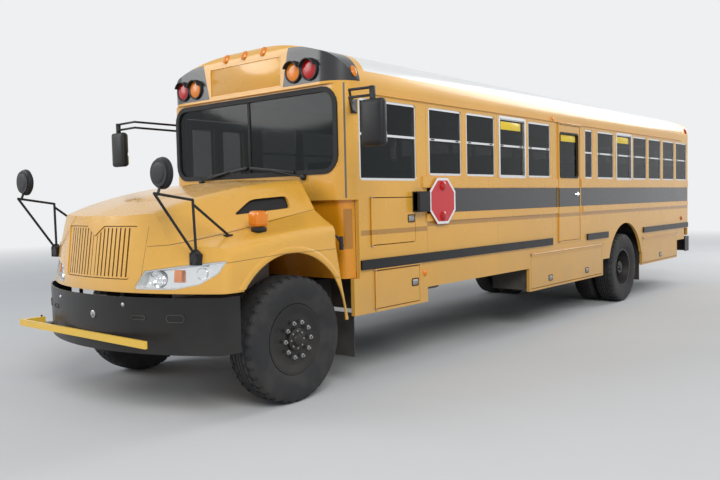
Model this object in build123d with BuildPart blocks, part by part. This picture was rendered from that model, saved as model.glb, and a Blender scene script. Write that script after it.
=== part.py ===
from build123d import *
import math
import os

# A conventional school bus: a tilting nose with steered front wheels, a long hollow body on a ladder
# frame, and twin rear wheels. Millimetres, +X forward, +Y to the bus's left, +Z up, with the origin on
# the ground below the middle of the bus.

# Driving dimensions of the whole vehicle
front_overhang = 1200.0
wheelbase = 7010.0
rear_overhang = 3270.0
overall_length = front_overhang + wheelbase + rear_overhang
front_axle_x = overall_length / 2 - front_overhang
rear_axle_x = front_axle_x - wheelbase
body_half = 1219.0
roof_top = 3075.0
crown_radius = 3200.0
roof_corner = 300.0
wall = 40.0
door_gap = 8.0
leaf_gap = 16.0

# Heights of the body's main lines
sill_z = 1850.0
window_high_z = 2512.0
header_z = 2535.0
drip_z = 2560.0
floor_top = 1060.0
floor_thick = 50.0
cap_z = 2630.0
window_panel_z = 1640.0
skirt_z = 616.0

# Stations along the body, set back from the front axle
windscreen_back = 590.0
side_start_back = 745.0
bay_start_back = 1780.0
bay_pitch = 686.0
bay_count = 12
pillar = 90.0
rear_bumper_depth = 160.0
windscreen_x = front_axle_x - windscreen_back
side_start_x = front_axle_x - side_start_back
bay_start_x = front_axle_x - bay_start_back
body_rear_x = -overall_length / 2 + rear_bumper_depth
window_radius = 40.0

# Tyres and wheels
tyre_radius = 515.0
tyre_width = 280.0
rim_radius = 298.0
rim_width = 210.0
front_wheel_y = 1042.0
dual_outer_y = 1050.0
dual_spacing = 330.0
kingpin_y = 860.0
hub_radius = 110.0
arch_radius = 680.0

# Nose, relative to the front axle
hood_skin = 14.0
nose_bottom_z = 965.0
nose_radius = 2130.0
nose_lean = 145.0
nose_height = 1000.0
hood_rear_back = 450.0
fender_half = 1205.0
arch_ahead = 65.0
arch_z = 590.0
arch_r = 630.0
hood_pivot_ahead = 1060.0
hood_pivot_z = 985.0


def box(x0, x1, y0, y1, z0, z1):
    """A block between two corners, added to the part being built."""
    with Locations(((x0 + x1) / 2, (y0 + y1) / 2, (z0 + z1) / 2)):
        Box(abs(x1 - x0), abs(y1 - y0), abs(z1 - z0))


def cut_box(x0, x1, y0, y1, z0, z1):
    """A block between two corners, cut from the part being built."""
    with Locations(((x0 + x1) / 2, (y0 + y1) / 2, (z0 + z1) / 2)):
        Box(abs(x1 - x0), abs(y1 - y0), abs(z1 - z0), mode=Mode.SUBTRACT)


def tube(start, end, radius):
    """A round bar between two points, added to the part being built."""
    run = Vector(*end) - Vector(*start)
    with BuildSketch(Plane(origin=start, z_dir=run)):
        Circle(radius)
    extrude(amount=run.length)


def save(part, name):
    """Labels a finished piece and writes it."""
    part.label = name
    export_step(part, f"parts/{name}.step")


def bay_x(index):
    """Front edge of a window bay, counted back from the driver's section."""
    return bay_start_x - index * bay_pitch


os.makedirs("parts", exist_ok=True)

# Roof shell: a shallow crown between two rounded shoulders, with drip rails over the windows


def roof_profile(inset, base_z):
    """The roof's cross-section, drawn inside the skin by the inset."""
    half = body_half - inset
    corner = roof_corner - inset
    crown_z = roof_top - crown_radius
    reach = crown_radius - inset - corner
    corner_y = half - corner
    corner_z = crown_z + math.sqrt(reach**2 - corner_y**2)
    lean = math.atan2(corner_z - crown_z, corner_y)
    shoulder_y = corner_y + corner * math.cos(lean)
    shoulder_z = corner_z + corner * math.sin(lean)
    mid_y = corner_y + corner * math.cos(lean / 2)
    mid_z = corner_z + corner * math.sin(lean / 2)
    with BuildSketch() as profile:
        with BuildLine():
            Polyline((-half, corner_z), (-half, base_z), (half, base_z), (half, corner_z))
            ThreePointArc((half, corner_z), (mid_y, mid_z), (shoulder_y, shoulder_z))
            ThreePointArc((shoulder_y, shoulder_z), (0, roof_top - inset), (-shoulder_y, shoulder_z))
            ThreePointArc((-shoulder_y, shoulder_z), (-mid_y, mid_z), (-half, corner_z))
        make_face()
    return profile.sketch


front_cap_depth = 420.0
rear_cap_depth = 460.0
cap_brow = 40.0
front_cap_x = windscreen_x + cap_brow
roof_front_x = front_cap_x - front_cap_depth
roof_rear_x = body_rear_x + rear_cap_depth
drip_out = 16.0
drip_high = 14.0

with BuildPart() as roof:
    with BuildSketch(Plane.YZ.offset(roof_rear_x)):
        add(roof_profile(0, header_z))
    extrude(amount=roof_front_x - roof_rear_x)
    with BuildSketch(Plane.YZ.offset(roof_rear_x)):
        add(roof_profile(wall, header_z - wall))
    extrude(amount=roof_front_x - roof_rear_x, mode=Mode.SUBTRACT)
    for side in (-1, 1):
        box(roof_rear_x, roof_front_x, side * body_half, side * (body_half + drip_out),
            drip_z - drip_high / 2, drip_z + drip_high / 2)
save(roof.part, "roof")

# End caps: the roof section, rounded down at the end and round the corners


def cap_block(inset, end_x, seam_x, base_z, edge, corner):
    """One end of the roof, rounded in side view by edge and in plan by corner."""
    way = 1 if end_x > seam_x else -1
    tip = end_x - way * inset
    back = seam_x - way * (1 if inset else 0)
    with BuildPart() as block:
        with BuildSketch(Plane.YZ.offset(min(tip, back))):
            add(roof_profile(inset, header_z - wall))
        extrude(amount=abs(tip - back))
        with BuildSketch(Plane.XZ.offset(-body_half)):
            with BuildLine():
                Polyline((back, roof_top - inset), (back, base_z), (tip, base_z), (tip, roof_top - inset), close=True)
            side_face = make_face()
            tip_corner = side_face.vertices().group_by(Axis.X)[-1 if way > 0 else 0].sort_by(Axis.Y)[-1]
            fillet(tip_corner, edge - inset)
        extrude(amount=2 * body_half, mode=Mode.INTERSECT)
        with BuildSketch(Plane.XY.offset(base_z)):
            with BuildLine():
                half = body_half - inset
                Polyline((back, half), (tip, half), (tip, -half), (back, -half), close=True)
            plan_face = make_face()
            fillet(plan_face.vertices().group_by(Axis.X)[-1 if way > 0 else 0], corner - inset)
        extrude(amount=roof_top - base_z, mode=Mode.INTERSECT)
    return block.part


sign_half = 500.0
sign_low_z = 2665.0
sign_high_z = 2940.0
sign_recess = 10.0
cap_edge = 120.0
cap_corner = 260.0
front_cap_outer = cap_block(0, front_cap_x, roof_front_x, cap_z, cap_edge, cap_corner)
front_cap_inner = cap_block(wall, front_cap_x, roof_front_x, cap_z - wall, cap_edge, cap_corner)
with BuildPart() as front_cap:
    add(front_cap_outer)
    add(front_cap_inner, mode=Mode.SUBTRACT)
    cut_box(front_cap_x - sign_recess, front_cap_x + wall, -sign_half, sign_half, sign_low_z, sign_high_z)
save(front_cap.part, "front_cap")

rear_edge = 330.0
rear_corner = 90.0
rear_wrap = 100.0
rear_cap_outer = cap_block(0, body_rear_x, roof_rear_x, header_z, rear_edge, rear_corner)
rear_cap_inner = cap_block(wall, body_rear_x, roof_rear_x, header_z - wall, rear_edge, rear_corner)
with BuildPart() as rear_cap:
    add(rear_cap_outer)
    add(rear_cap_inner, mode=Mode.SUBTRACT)
save(rear_cap.part, "rear_cap")

# Windscreen surround, cowl box and windscreen: one rounded plan, at three insets


def front_plan(inset, back_x, corner):
    """Plan outline of the body's front, drawn inside the skin by the inset."""
    half = body_half - inset
    front = windscreen_x - inset
    with BuildSketch() as plan:
        with BuildLine():
            Polyline((back_x, half), (front, half), (front, -half), (back_x, -half), close=True)
        make_face()
        fillet(plan.vertices().group_by(Axis.X)[-1], corner - inset)
    return plan.sketch


screen_corner = 150.0
screen_half = 1112.0
screen_low_z = 1872.0
screen_high_z = 2598.0
screen_radius = 150.0
cowl_inset = 45.0
cowl_low_z = 940.0
screen_depth = 170.0

with BuildPart() as windscreen_frame:
    with BuildSketch(Plane.XY.offset(window_panel_z)):
        add(front_plan(0, side_start_x, screen_corner))
    extrude(amount=cap_z - window_panel_z)
    with BuildSketch(Plane.XY.offset(window_panel_z)):
        add(front_plan(wall, side_start_x - 1, screen_corner))
    extrude(amount=cap_z - window_panel_z, mode=Mode.SUBTRACT)
    with BuildSketch(Plane.YZ.offset(windscreen_x - screen_depth)):
        with Locations((0, (screen_low_z + screen_high_z) / 2)):
            RectangleRounded(2 * screen_half, screen_high_z - screen_low_z, screen_radius)
    extrude(amount=2 * screen_depth, mode=Mode.SUBTRACT)
    for side in (-1, 1):
        box(roof_front_x, side_start_x, side * (body_half - wall), side * body_half, header_z, cap_z)
# The cowl below it stands a little back behind the tilting nose
with BuildPart() as cowl:
    with BuildSketch(Plane.XY.offset(cowl_low_z)):
        add(front_plan(cowl_inset, side_start_x, screen_corner))
    extrude(amount=window_panel_z - cowl_low_z)
    with BuildSketch(Plane.XY.offset(cowl_low_z)):
        add(front_plan(cowl_inset + wall, side_start_x - 1, screen_corner))
    extrude(amount=window_panel_z - cowl_low_z, mode=Mode.SUBTRACT)
    with BuildSketch(Plane.XY.offset(window_panel_z - 12)):
        add(front_plan(0, side_start_x, screen_corner))
    extrude(amount=12)
    with BuildSketch(Plane.XY.offset(window_panel_z - 12)):
        add(front_plan(cowl_inset + wall, side_start_x - 1, screen_corner))
    extrude(amount=12, mode=Mode.SUBTRACT)
with BuildPart() as front_wall:
    add(windscreen_frame.part)
    add(cowl.part)
save(front_wall.part, "front_wall")

# Side walls, drawn as flat panels in the XZ plane

left_plane = Plane.XZ.offset(-body_half)
right_plane = Plane.XZ.offset(body_half - wall)


def rectangle_cut(x0, x1, z0, z1, radius=window_radius):
    """A rounded opening in the panel being sketched."""
    with Locations(((x0 + x1) / 2, (z0 + z1) / 2)):
        if radius:
            RectangleRounded(abs(x1 - x0), abs(z1 - z0), radius, mode=Mode.SUBTRACT)
        else:
            Rectangle(abs(x1 - x0), abs(z1 - z0), mode=Mode.SUBTRACT)


def bay_window(index, radius=window_radius):
    """One passenger window opening in the panel being sketched."""
    rectangle_cut(bay_x(index) - pillar / 2, bay_x(index + 1) + pillar / 2, sill_z, window_high_z, radius)


# Stations of the doors, hatches and skirt, set back from the front axle
driver_window = (770.0, 1620.0)
driver_sill_z = 1795.0
side_door = (4680.0, 5350.0)
side_door_low_z = 1035.0
narrow_window = (5517.0, 5775.0)
hatch = (905.0, 1585.0)
hatch_z = (1213.0, 1645.0)
battery = (945.0, 1640.0)
battery_z = (640.0, 990.0)
skirt_step = (1770.0, 3890.0)
skirt_high_z = 760.0
box_end = 6120.0
box_low_z = 480.0
tail_skirt = (7690.0, 9430.0)
tail_low_z = 500.0
tail_cut = 9835.0
tail_step_z = 800.0
tail_rail_z = 994.0
fill_z = 707.0


def station(back):
    """A place along the bus, given as its distance behind the front axle."""
    return front_axle_x - back


def tail_points():
    """The skirt's lower edge and the tail, from the front of the luggage hold round to the header."""
    return (
        (station(skirt_step[1]), box_low_z),
        (station(box_end), box_low_z),
        (station(box_end), fill_z),
        (station(tail_skirt[0]), fill_z),
        (station(tail_skirt[0]), tail_low_z),
        (station(tail_skirt[1]), tail_low_z),
        (station(tail_skirt[1]), tail_step_z),
        (station(tail_cut), tail_step_z),
        (station(tail_cut), tail_rail_z),
        (body_rear_x + rear_wrap, tail_rail_z),
        (body_rear_x + rear_wrap, header_z),
    )


luggage = (3925.0, 6085.0)
luggage_z = (505.0, 930.0)
tail_box = (7725.0, 9395.0)
tail_box_z = (525.0, 930.0)
with BuildPart() as side_wall_left:
    with BuildSketch(left_plane):
        with BuildLine():
            Polyline(
                (side_start_x, header_z),
                (side_start_x, cowl_low_z),
                (station(665), cowl_low_z),
                (station(665), skirt_z),
                (station(skirt_step[0]), skirt_z),
                (station(skirt_step[0]), skirt_high_z),
                (station(skirt_step[1]), skirt_high_z),
                *tail_points(),
                (station(side_door[1]), header_z),
                (station(side_door[1]), side_door_low_z),
                (station(side_door[0]), side_door_low_z),
                (station(side_door[0]), header_z),
                close=True,
            )
        make_face()
        with Locations((rear_axle_x, tyre_radius)):
            Circle(arch_radius, mode=Mode.SUBTRACT)
        for index in (0, 1, 2, 3, 6, 7, 8, 9, 10, 11):
            bay_window(index)
        rectangle_cut(station(narrow_window[0]), station(narrow_window[1]), sill_z, window_high_z)
        rectangle_cut(station(driver_window[0]), station(driver_window[1]), driver_sill_z, window_high_z)
        rectangle_cut(station(hatch[0]), station(hatch[1]), *hatch_z, radius=30)
        rectangle_cut(station(battery[0]), station(battery[1]), *battery_z, radius=0)
        rectangle_cut(station(luggage[0]), station(luggage[1]), *luggage_z, radius=0)
        rectangle_cut(station(tail_box[0]), station(tail_box[1]), *tail_box_z, radius=0)
    extrude(amount=wall)
save(side_wall_left.part, "side_wall_left")

entry = (770.0, 1610.0)
step_low_z = 380.0
with BuildPart() as side_wall_right:
    with BuildSketch(right_plane):
        with BuildLine():
            Polyline(
                (station(entry[1]), header_z),
                (station(entry[1]), step_low_z),
                (station(skirt_step[0]), step_low_z),
                (station(skirt_step[0]), skirt_high_z),
                (station(skirt_step[1]), skirt_high_z),
                *tail_points(),
                close=True,
            )
        make_face()
        with Locations((rear_axle_x, tyre_radius)):
            Circle(arch_radius, mode=Mode.SUBTRACT)
        for index in range(bay_count):
            bay_window(index)
    extrude(amount=wall)
    with BuildSketch(right_plane):
        with BuildLine():
            Polyline(
                (side_start_x, header_z),
                (side_start_x, cowl_low_z),
                (station(665), cowl_low_z),
                (station(665), step_low_z),
                (station(entry[0]), step_low_z),
                (station(entry[0]), header_z),
                close=True,
            )
        make_face()
    extrude(amount=wall)
save(side_wall_right.part, "side_wall_right")

# Rear wall, wrapped round the corners, with the doorway and four windows

rear_door_half = 490.0
rear_wall_low_z = 860.0
rear_window = (600.0, 1060.0)
rear_window_high_z = 2440.0
with BuildPart() as rear_wall:
    with BuildSketch(Plane.XY.offset(rear_wall_low_z)):
        with BuildLine():
            Polyline(
                (body_rear_x + rear_wrap, body_half),
                (body_rear_x, body_half),
                (body_rear_x, -body_half),
                (body_rear_x + rear_wrap, -body_half),
                close=True,
            )
        rear_plan = make_face()
        fillet(rear_plan.vertices().group_by(Axis.X)[0], rear_corner)
    extrude(amount=header_z - rear_wall_low_z)
    with BuildSketch(Plane.XY.offset(rear_wall_low_z)):
        with BuildLine():
            Polyline(
                (body_rear_x + rear_wrap + 1, body_half - wall),
                (body_rear_x + wall, body_half - wall),
                (body_rear_x + wall, wall - body_half),
                (body_rear_x + rear_wrap + 1, wall - body_half),
                close=True,
            )
        rear_void = make_face()
        fillet(rear_void.vertices().group_by(Axis.X)[0], rear_corner - wall)
    extrude(amount=header_z - rear_wall_low_z, mode=Mode.SUBTRACT)
    cut_box(body_rear_x - 1, body_rear_x + wall + 1, -rear_door_half, rear_door_half, side_door_low_z, header_z)
    with BuildSketch(Plane.YZ.offset(body_rear_x - 1)):
        for side in (-1, 1):
            with Locations((side * sum(rear_window) / 2, (sill_z + rear_window_high_z) / 2)):
                RectangleRounded(rear_window[1] - rear_window[0], rear_window_high_z - sill_z, window_radius)
    extrude(amount=wall + 2, mode=Mode.SUBTRACT)
save(rear_wall.part, "rear_wall")

# Floor with its cross sills, wheel houses and the step well

floor_half = body_half - wall
floor_low = floor_top - floor_thick
rail_top_z = 860.0
wheelhouse_in = 545.0
wheelhouse_half = arch_radius + 10.0
wheelhouse_z = tyre_radius + arch_radius + 5.0
sheet_metal = 12.0
well_in = 620.0
step_rise = 225.0
entry_back = entry[1] + 0.0
open_sills = (2100.0, 2900.0, 3700.0, 9650.0)
hold_sills = (4500.0, 5300.0, 6080.0, 7940.0, 8700.0, 9350.0)
hold_in = 700.0
with BuildPart() as floor:
    box(body_rear_x + rear_wrap, station(entry_back), -floor_half, floor_half, floor_low, floor_top)
    box(body_rear_x + wall, body_rear_x + rear_wrap, -floor_half + 60, floor_half - 60, floor_low, floor_top)
    box(station(entry_back), side_start_x, -well_in, floor_half, floor_low, floor_top)
    box(side_start_x, windscreen_x - cowl_inset - wall, -well_in, body_half - 150, floor_low, floor_top)
    for side in (-1, 1):
        cut_box(rear_axle_x - wheelhouse_half + sheet_metal, rear_axle_x + wheelhouse_half - sheet_metal,
                side * wheelhouse_in, side * (floor_half + 1), floor_low - 1, floor_top + 1)
    for side in (-1, 1):
        with BuildPart(mode=Mode.PRIVATE) as house:
            box(rear_axle_x - wheelhouse_half, rear_axle_x + wheelhouse_half,
                side * (wheelhouse_in - sheet_metal), side * floor_half, floor_low, wheelhouse_z + sheet_metal)
            cut_box(rear_axle_x - wheelhouse_half + sheet_metal, rear_axle_x + wheelhouse_half - sheet_metal,
                    side * wheelhouse_in, side * (floor_half + 1), floor_low - 1, wheelhouse_z)
        add(house.part)
    # Entry steps: two treads, a landing and the well's three sides
    for step, tread_in in ((0, 1170.0), (1, 990.0), (2, 810.0)):
        tread_z = step_low_z + 30 + step * step_rise
        box(station(entry[1]) + 30, station(entry[0]) - 30, -tread_in, -tread_in + 190, tread_z - 30, tread_z)
        box(station(entry[1]) + 30, station(entry[0]) - 30, -tread_in + 178, -tread_in + 190,
            tread_z - 30, tread_z + step_rise - 30)
    box(station(entry[1]), station(entry[1]) + 30, -floor_half, -well_in, step_low_z, floor_top)
    box(station(entry[0]) - 30, station(entry[0]), -floor_half, -well_in, step_low_z, floor_top)
save(floor.part, "floor")

# Sills below the floor, short ones where a hold hangs beside them
with BuildPart() as floor_sills:
    for back in open_sills:
        box(station(back) - 30, station(back) + 30, -floor_half + 60, floor_half - 60, rail_top_z, floor_low)
    for back in hold_sills:
        box(station(back) - 30, station(back) + 30, -floor_half + 60, hold_in - 20, rail_top_z, floor_low)
save(floor_sills.part, "floor_sills")

# Ladder frame

rail_half = 430.0
rail_wide = 80.0
rail_low_z = 610.0
frame_front_x = front_axle_x + 905.0
frame_rear_x = body_rear_x + 20.0
cross_backs = (-860.0, 700.0, 1900.0, 3200.0, 4700.0, 6200.0, 7700.0, 9000.0, 9900.0)
with BuildPart() as chassis_frame:
    for side in (-1, 1):
        box(frame_rear_x, frame_front_x, side * (rail_half - rail_wide), side * rail_half, rail_low_z, rail_top_z)
        cut_box(frame_rear_x + 40, frame_front_x - 40, side * (rail_half - rail_wide - 1), side * (rail_half - 12),
                rail_low_z + 12, rail_top_z - 12)
    for back in cross_backs:
        box(station(back) - 30, station(back) + 30, -rail_half + 12, rail_half - 12, rail_top_z - 120, rail_top_z - 20)
save(chassis_frame.part, "chassis_frame")

# Engine, cooling pack, exhaust and fuel tank

with BuildPart() as engine:
    box(station(520), front_axle_x + 560, -300, 300, 640, 1330)
    cut_box(station(521), front_axle_x + 561, -301, -300 + 1, 640, 1330)
    for side in (-1, 1):
        box(front_axle_x - 60, front_axle_x + 60, side * 300, side * (rail_half - 12), 700, 780)
save(engine.part, "engine")

with BuildPart() as radiator:
    box(front_axle_x + 620, front_axle_x + 760, rail_wide - rail_half, rail_half - rail_wide, 640, 1330)
save(radiator.part, "radiator")

with BuildPart() as fuel_tank:
    with BuildSketch(Plane.YZ.offset(station(3700))):
        with Locations((-790, 650)):
            RectangleRounded(560, 380, 70)
    extrude(amount=1200)
    for back in (2700.0, 3500.0):
        box(station(back) - 25, station(back) + 25, -520, -rail_half, rail_low_z + 60, rail_top_z - 60)
save(fuel_tank.part, "fuel_tank")

exhaust_y = 545.0
exhaust_z = 700.0
with BuildPart() as exhaust:
    with Locations(Plane(origin=(station(3300), exhaust_y, exhaust_z), z_dir=(1, 0, 0)).location):
        Cylinder(45, 3300)
    with Locations(Plane(origin=(station(2400), exhaust_y, exhaust_z), z_dir=(1, 0, 0)).location):
        Cylinder(100, 900)
    for back in (1800.0, 4000.0):
        box(station(back) - 12, station(back) + 12, rail_half, exhaust_y - 20, exhaust_z - 15, exhaust_z + 15)
save(exhaust.part, "exhaust")

# Axles, springs and propeller shaft

hub_in = dual_outer_y - dual_spacing - tyre_width / 2
axle_stub = 50.0
bearing_gap = 1.0
with BuildPart() as rear_axle:
    with Locations(Plane(origin=(rear_axle_x, 0, tyre_radius), z_dir=(0, 1, 0)).location):
        Cylinder(60, 2 * (hub_in + 4))
    with Locations(Plane(origin=(rear_axle_x, 0, tyre_radius), z_dir=(0, 1, 0)).location):
        Cylinder(axle_stub, 2 * 1040)
    with Locations((rear_axle_x + 20, 0, tyre_radius)):
        Sphere(205)
    for side in (-1, 1):
        box(rear_axle_x - 75, rear_axle_x + 75, side * 350, side * 440, tyre_radius - 70, tyre_radius)

beam_z = 415.0
kingpin_r = 20.0
with BuildPart() as front_axle:
    box(front_axle_x - 45, front_axle_x + 45, -700, 700, beam_z - 50, beam_z + 50)
    for side in (-1, 1):
        box(front_axle_x - 45, front_axle_x + 45, side * 700, side * 780, beam_z - 50, tyre_radius + 45)
        box(front_axle_x - 30, front_axle_x + 30, side * 780, side * (kingpin_y + 30),
            tyre_radius - 45, tyre_radius + 45)
        with Locations((front_axle_x, side * kingpin_y, tyre_radius)):
            Cylinder(kingpin_r, 178)
save(front_axle.part, "front_axle")

with BuildPart() as leaf_springs:
    for axle_x, half_span, spring_z, spring_y in (
        (front_axle_x, 560.0, beam_z + 50, 390.0),
        (rear_axle_x, 640.0, tyre_radius - 112, 395.0),
    ):
        for side in (-1, 1):
            for leaf in range(3):
                box(axle_x - half_span * (1 - leaf * 0.28), axle_x + half_span * (1 - leaf * 0.28),
                    side * (spring_y - 35), side * (spring_y + 35),
                    spring_z + (2 - leaf) * 14, spring_z + (3 - leaf) * 14)
            for end in (-1, 1):
                box(axle_x + end * (half_span - 30), axle_x + end * half_span,
                    side * (spring_y - 35), side * (spring_y + 35), spring_z + 42, rail_low_z)
save(leaf_springs.part, "leaf_springs")

with BuildPart() as propeller_shaft:
    shaft_front = Vector(station(545), 0, 670)
    shaft_rear = Vector(rear_axle_x + 20 + 190, 0, tyre_radius + 20)
    shaft_run = shaft_rear - shaft_front
    with Locations(Plane(origin=shaft_front + shaft_run / 2, z_dir=shaft_run).location):
        Cylinder(45, shaft_run.length)
    box(station(545), station(521), -60, 60, 610, 730)
with BuildPart() as driveline:
    add(rear_axle.part)
    add(propeller_shaft.part)
save(driveline.part, "driveline")

# Wheels: tyre and rim profiles turned about the axle line, tyre seated on the rim


def wheel_piece(centres, wheel_x, outline):
    """Pieces turned about a wheel axis from an outline of (half width, radius) points."""
    with BuildPart() as piece:
        for centre in centres:
            with BuildSketch(Plane.XY):
                with BuildLine():
                    Polyline([(wheel_x + radius, centre + offset) for offset, radius in outline], close=True)
                make_face()
            revolve(axis=Axis((wheel_x, 0, 0), (0, 1, 0)))
    return piece.part.moved(Location((0, 0, tyre_radius)))


half_tyre = tyre_width / 2
half_rim = rim_width / 2
tyre_outline = (
    (-half_tyre + 22, tyre_radius),
    (half_tyre - 22, tyre_radius),
    (half_tyre, tyre_radius - 45),
    (half_rim, rim_radius - 12),
    (-half_rim, rim_radius - 12),
    (-half_tyre, tyre_radius - 45),
)
front_dish = 92.0
rear_dish = dual_spacing / 2 - 14.0
dish_thick = 14.0
disc_hole = 92.0


def rim_outline(outboard, disc):
    """Rim and disc section for a wheel whose disc stands off toward outboard, +1 or -1."""
    lip = half_rim + 10
    points = (
        (-lip, rim_radius - 12),
        (lip, rim_radius - 12),
        (lip, rim_radius - 34),
        (disc + dish_thick, rim_radius - 90),
        (disc + dish_thick, disc_hole),
        (disc, disc_hole),
        (disc, rim_radius - 105),
        (-lip, rim_radius - 34),
    )
    return [(outboard * offset, radius) for offset, radius in points]


for side, hand in ((1, "left"), (-1, "right")):
    tyre = wheel_piece((side * front_wheel_y,), front_axle_x, tyre_outline)
    save(tyre, f"tyre_front_{hand}")
    rim = wheel_piece((side * front_wheel_y,), front_axle_x, rim_outline(side, front_dish))
    with BuildPart() as front_rim:
        add(rim)
        with Locations(Plane(origin=(front_axle_x, side * 1105, tyre_radius), z_dir=(0, 1, 0)).location):
            Cylinder(disc_hole, 120)
        with Locations(Plane(origin=(front_axle_x, side * 1030, tyre_radius), z_dir=(0, 1, 0)).location):
            Cylinder(70 + bearing_gap, 182, mode=Mode.SUBTRACT)
    save(front_rim.part, f"rim_front_{hand}")
    twin = (side * dual_outer_y, side * (dual_outer_y - dual_spacing))
    tyres = wheel_piece(twin, rear_axle_x, tyre_outline)
    save(tyres, f"tyres_rear_{hand}")
    outer_rim = wheel_piece(twin[:1], rear_axle_x, rim_outline(-side, rear_dish))
    inner_rim = wheel_piece(twin[1:], rear_axle_x, rim_outline(side, rear_dish))
    with BuildPart() as rear_rims:
        add(outer_rim)
        add(inner_rim)
        with Locations(Plane(origin=(rear_axle_x, side * 850, tyre_radius), z_dir=(0, 1, 0)).location):
            Cylinder(disc_hole, 520)
        with Locations(Plane(origin=(rear_axle_x, side * 815, tyre_radius), z_dir=(0, 1, 0)).location):
            Cylinder(axle_stub + bearing_gap, 460, mode=Mode.SUBTRACT)
    save(rear_rims.part, f"rims_rear_{hand}")

# Knuckles carry the front hubs on kingpins through the axle's ends

for side, hand in ((1, "left"), (-1, "right")):
    with BuildPart() as knuckle:
        box(front_axle_x - 50, front_axle_x + 50, side * (kingpin_y - 45), side * (kingpin_y + 45),
            tyre_radius + 50, tyre_radius + 90)
        box(front_axle_x - 50, front_axle_x + 50, side * (kingpin_y - 45), side * (kingpin_y + 45),
            tyre_radius - 90, tyre_radius - 50)
        box(front_axle_x - 50, front_axle_x + 50, side * (kingpin_y + 52), side * (kingpin_y + 90),
            tyre_radius - 90, tyre_radius + 90)
        box(front_axle_x - 50, front_axle_x + 50, side * (kingpin_y + 44), side * (kingpin_y + 60),
            tyre_radius + 50, tyre_radius + 90)
        box(front_axle_x - 50, front_axle_x + 50, side * (kingpin_y + 44), side * (kingpin_y + 60),
            tyre_radius - 90, tyre_radius - 50)
        with Locations(Plane(origin=(front_axle_x, side * 1030, tyre_radius), z_dir=(0, 1, 0)).location):
            Cylinder(70, 170)
        box(front_axle_x - 200, front_axle_x - 40, side * (kingpin_y - 32), side * (kingpin_y + 3),
            tyre_radius - 90, tyre_radius - 60)
        with Locations((front_axle_x, side * kingpin_y, tyre_radius)):
            Cylinder(kingpin_r + bearing_gap, 190, mode=Mode.SUBTRACT)
    save(knuckle.part, f"knuckle_{hand}")

# Nose: lofted bonnet and fenders, cut to a plan that leans back and to a side outline


def nose_plan(front_ahead, inset):
    """Plan of the nose at one height: a wide arc with rounded corners, inside the skin by the inset."""
    half = fender_half - inset
    front = front_axle_x + front_ahead - inset
    back = front_axle_x - 900
    edge = front - nose_radius + math.sqrt(nose_radius**2 - half**2)
    with BuildSketch() as plan:
        with BuildLine():
            Polyline((edge, half), (back, half), (back, -half), (edge, -half))
            ThreePointArc((edge, -half), (front, 0), (edge, half))
        make_face()
    return plan.sketch


nose_ahead = 1115.0


def nose_block(inset):
    """The leaning plan as a solid."""
    with BuildPart() as block:
        with BuildSketch(Plane.XY.offset(550)):
            add(nose_plan(nose_ahead + nose_lean * (nose_bottom_z - 550) / nose_height, inset))
        with BuildSketch(Plane.XY.offset(1950)):
            add(nose_plan(nose_ahead - nose_lean * (1950 - nose_bottom_z) / nose_height, inset))
        loft(ruled=True)
    return block.part


# Columns: distance ahead of the axle, fender top, crease (y, z), bonnet shoulder (y, z), ridge height
nose_sections = (
    (1200.0, 1200.0, 700.0, 1215.0, 560.0, 1465.0, 1520.0),
    (600.0, 1315.0, 860.0, 1375.0, 690.0, 1620.0, 1690.0),
    (0.0, 1385.0, 925.0, 1465.0, 770.0, 1730.0, 1795.0),
    (-640.0, 1400.0, 985.0, 1535.0, 800.0, 1790.0, 1835.0),
)


def nose_section(fender_z, crease_y, crease_z, shoulder_y, shoulder_z, ridge_z, inset):
    """One cross-section of bonnet and fenders, inside the skin by the inset."""
    half = fender_half - inset
    right = (
        (half, 500.0),
        (half, fender_z - 60 - inset),
        (half - 110, fender_z - inset),
        (crease_y - inset, crease_z - inset),
        (shoulder_y - inset, shoulder_z - inset),
        (shoulder_y - 130, shoulder_z + 22 - inset),
    )
    left = [(-y, z) for y, z in reversed(right)]
    with BuildSketch() as section:
        with BuildLine():
            Polyline(*right, (0, ridge_z - inset), *left, close=True)
        make_face()
    return section.sketch


def nose_shape(inset):
    """Bonnet and fenders as a solid, inside the skin by the inset."""
    with BuildPart() as shape:
        for ahead, *heights in nose_sections:
            with BuildSketch(Plane.YZ.offset(front_axle_x + ahead)):
                add(nose_section(*heights, inset))
        loft(ruled=True)
        add(nose_block(inset), mode=Mode.INTERSECT)
    return shape.part


arch_centre = (front_axle_x + arch_ahead, arch_z)
grille_low_z = 1060.0
grille_half_low = 455.0
grille_half_high = 490.0
grille_high_z = 1465.0
notch_half = 120.0
notch_z = 1390.0


def grille_outline(inset):
    """The grille's outline with a notch at its top, inside by the inset."""
    with BuildSketch() as outline:
        with BuildLine():
            Polyline(
                (-grille_half_high + inset, grille_high_z - inset),
                (-notch_half, grille_high_z - inset),
                (0, notch_z - inset),
                (notch_half, grille_high_z - inset),
                (grille_half_high - inset, grille_high_z - inset),
                (grille_half_low - inset, grille_low_z + inset),
                (-grille_half_low + inset, grille_low_z + inset),
                close=True,
            )
        make_face()
    return outline.sketch


def lamp_outline(side, inset):
    """A headlamp's teardrop outline seen from ahead."""
    with BuildSketch() as outline:
        with BuildLine():
            Polyline(
                (side * (530 + inset), 1000 + inset),
                (side * (600 + inset), 1135 - inset),
                (side * (900 + inset), 1172 - inset),
                (side * (fender_half + 10), 1185 - inset),
                (side * (fender_half + 10), 1110 + inset),
                (side * (1080 - inset), 1020 + inset),
                close=True,
            )
        make_face()
    return outline.sketch


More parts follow.
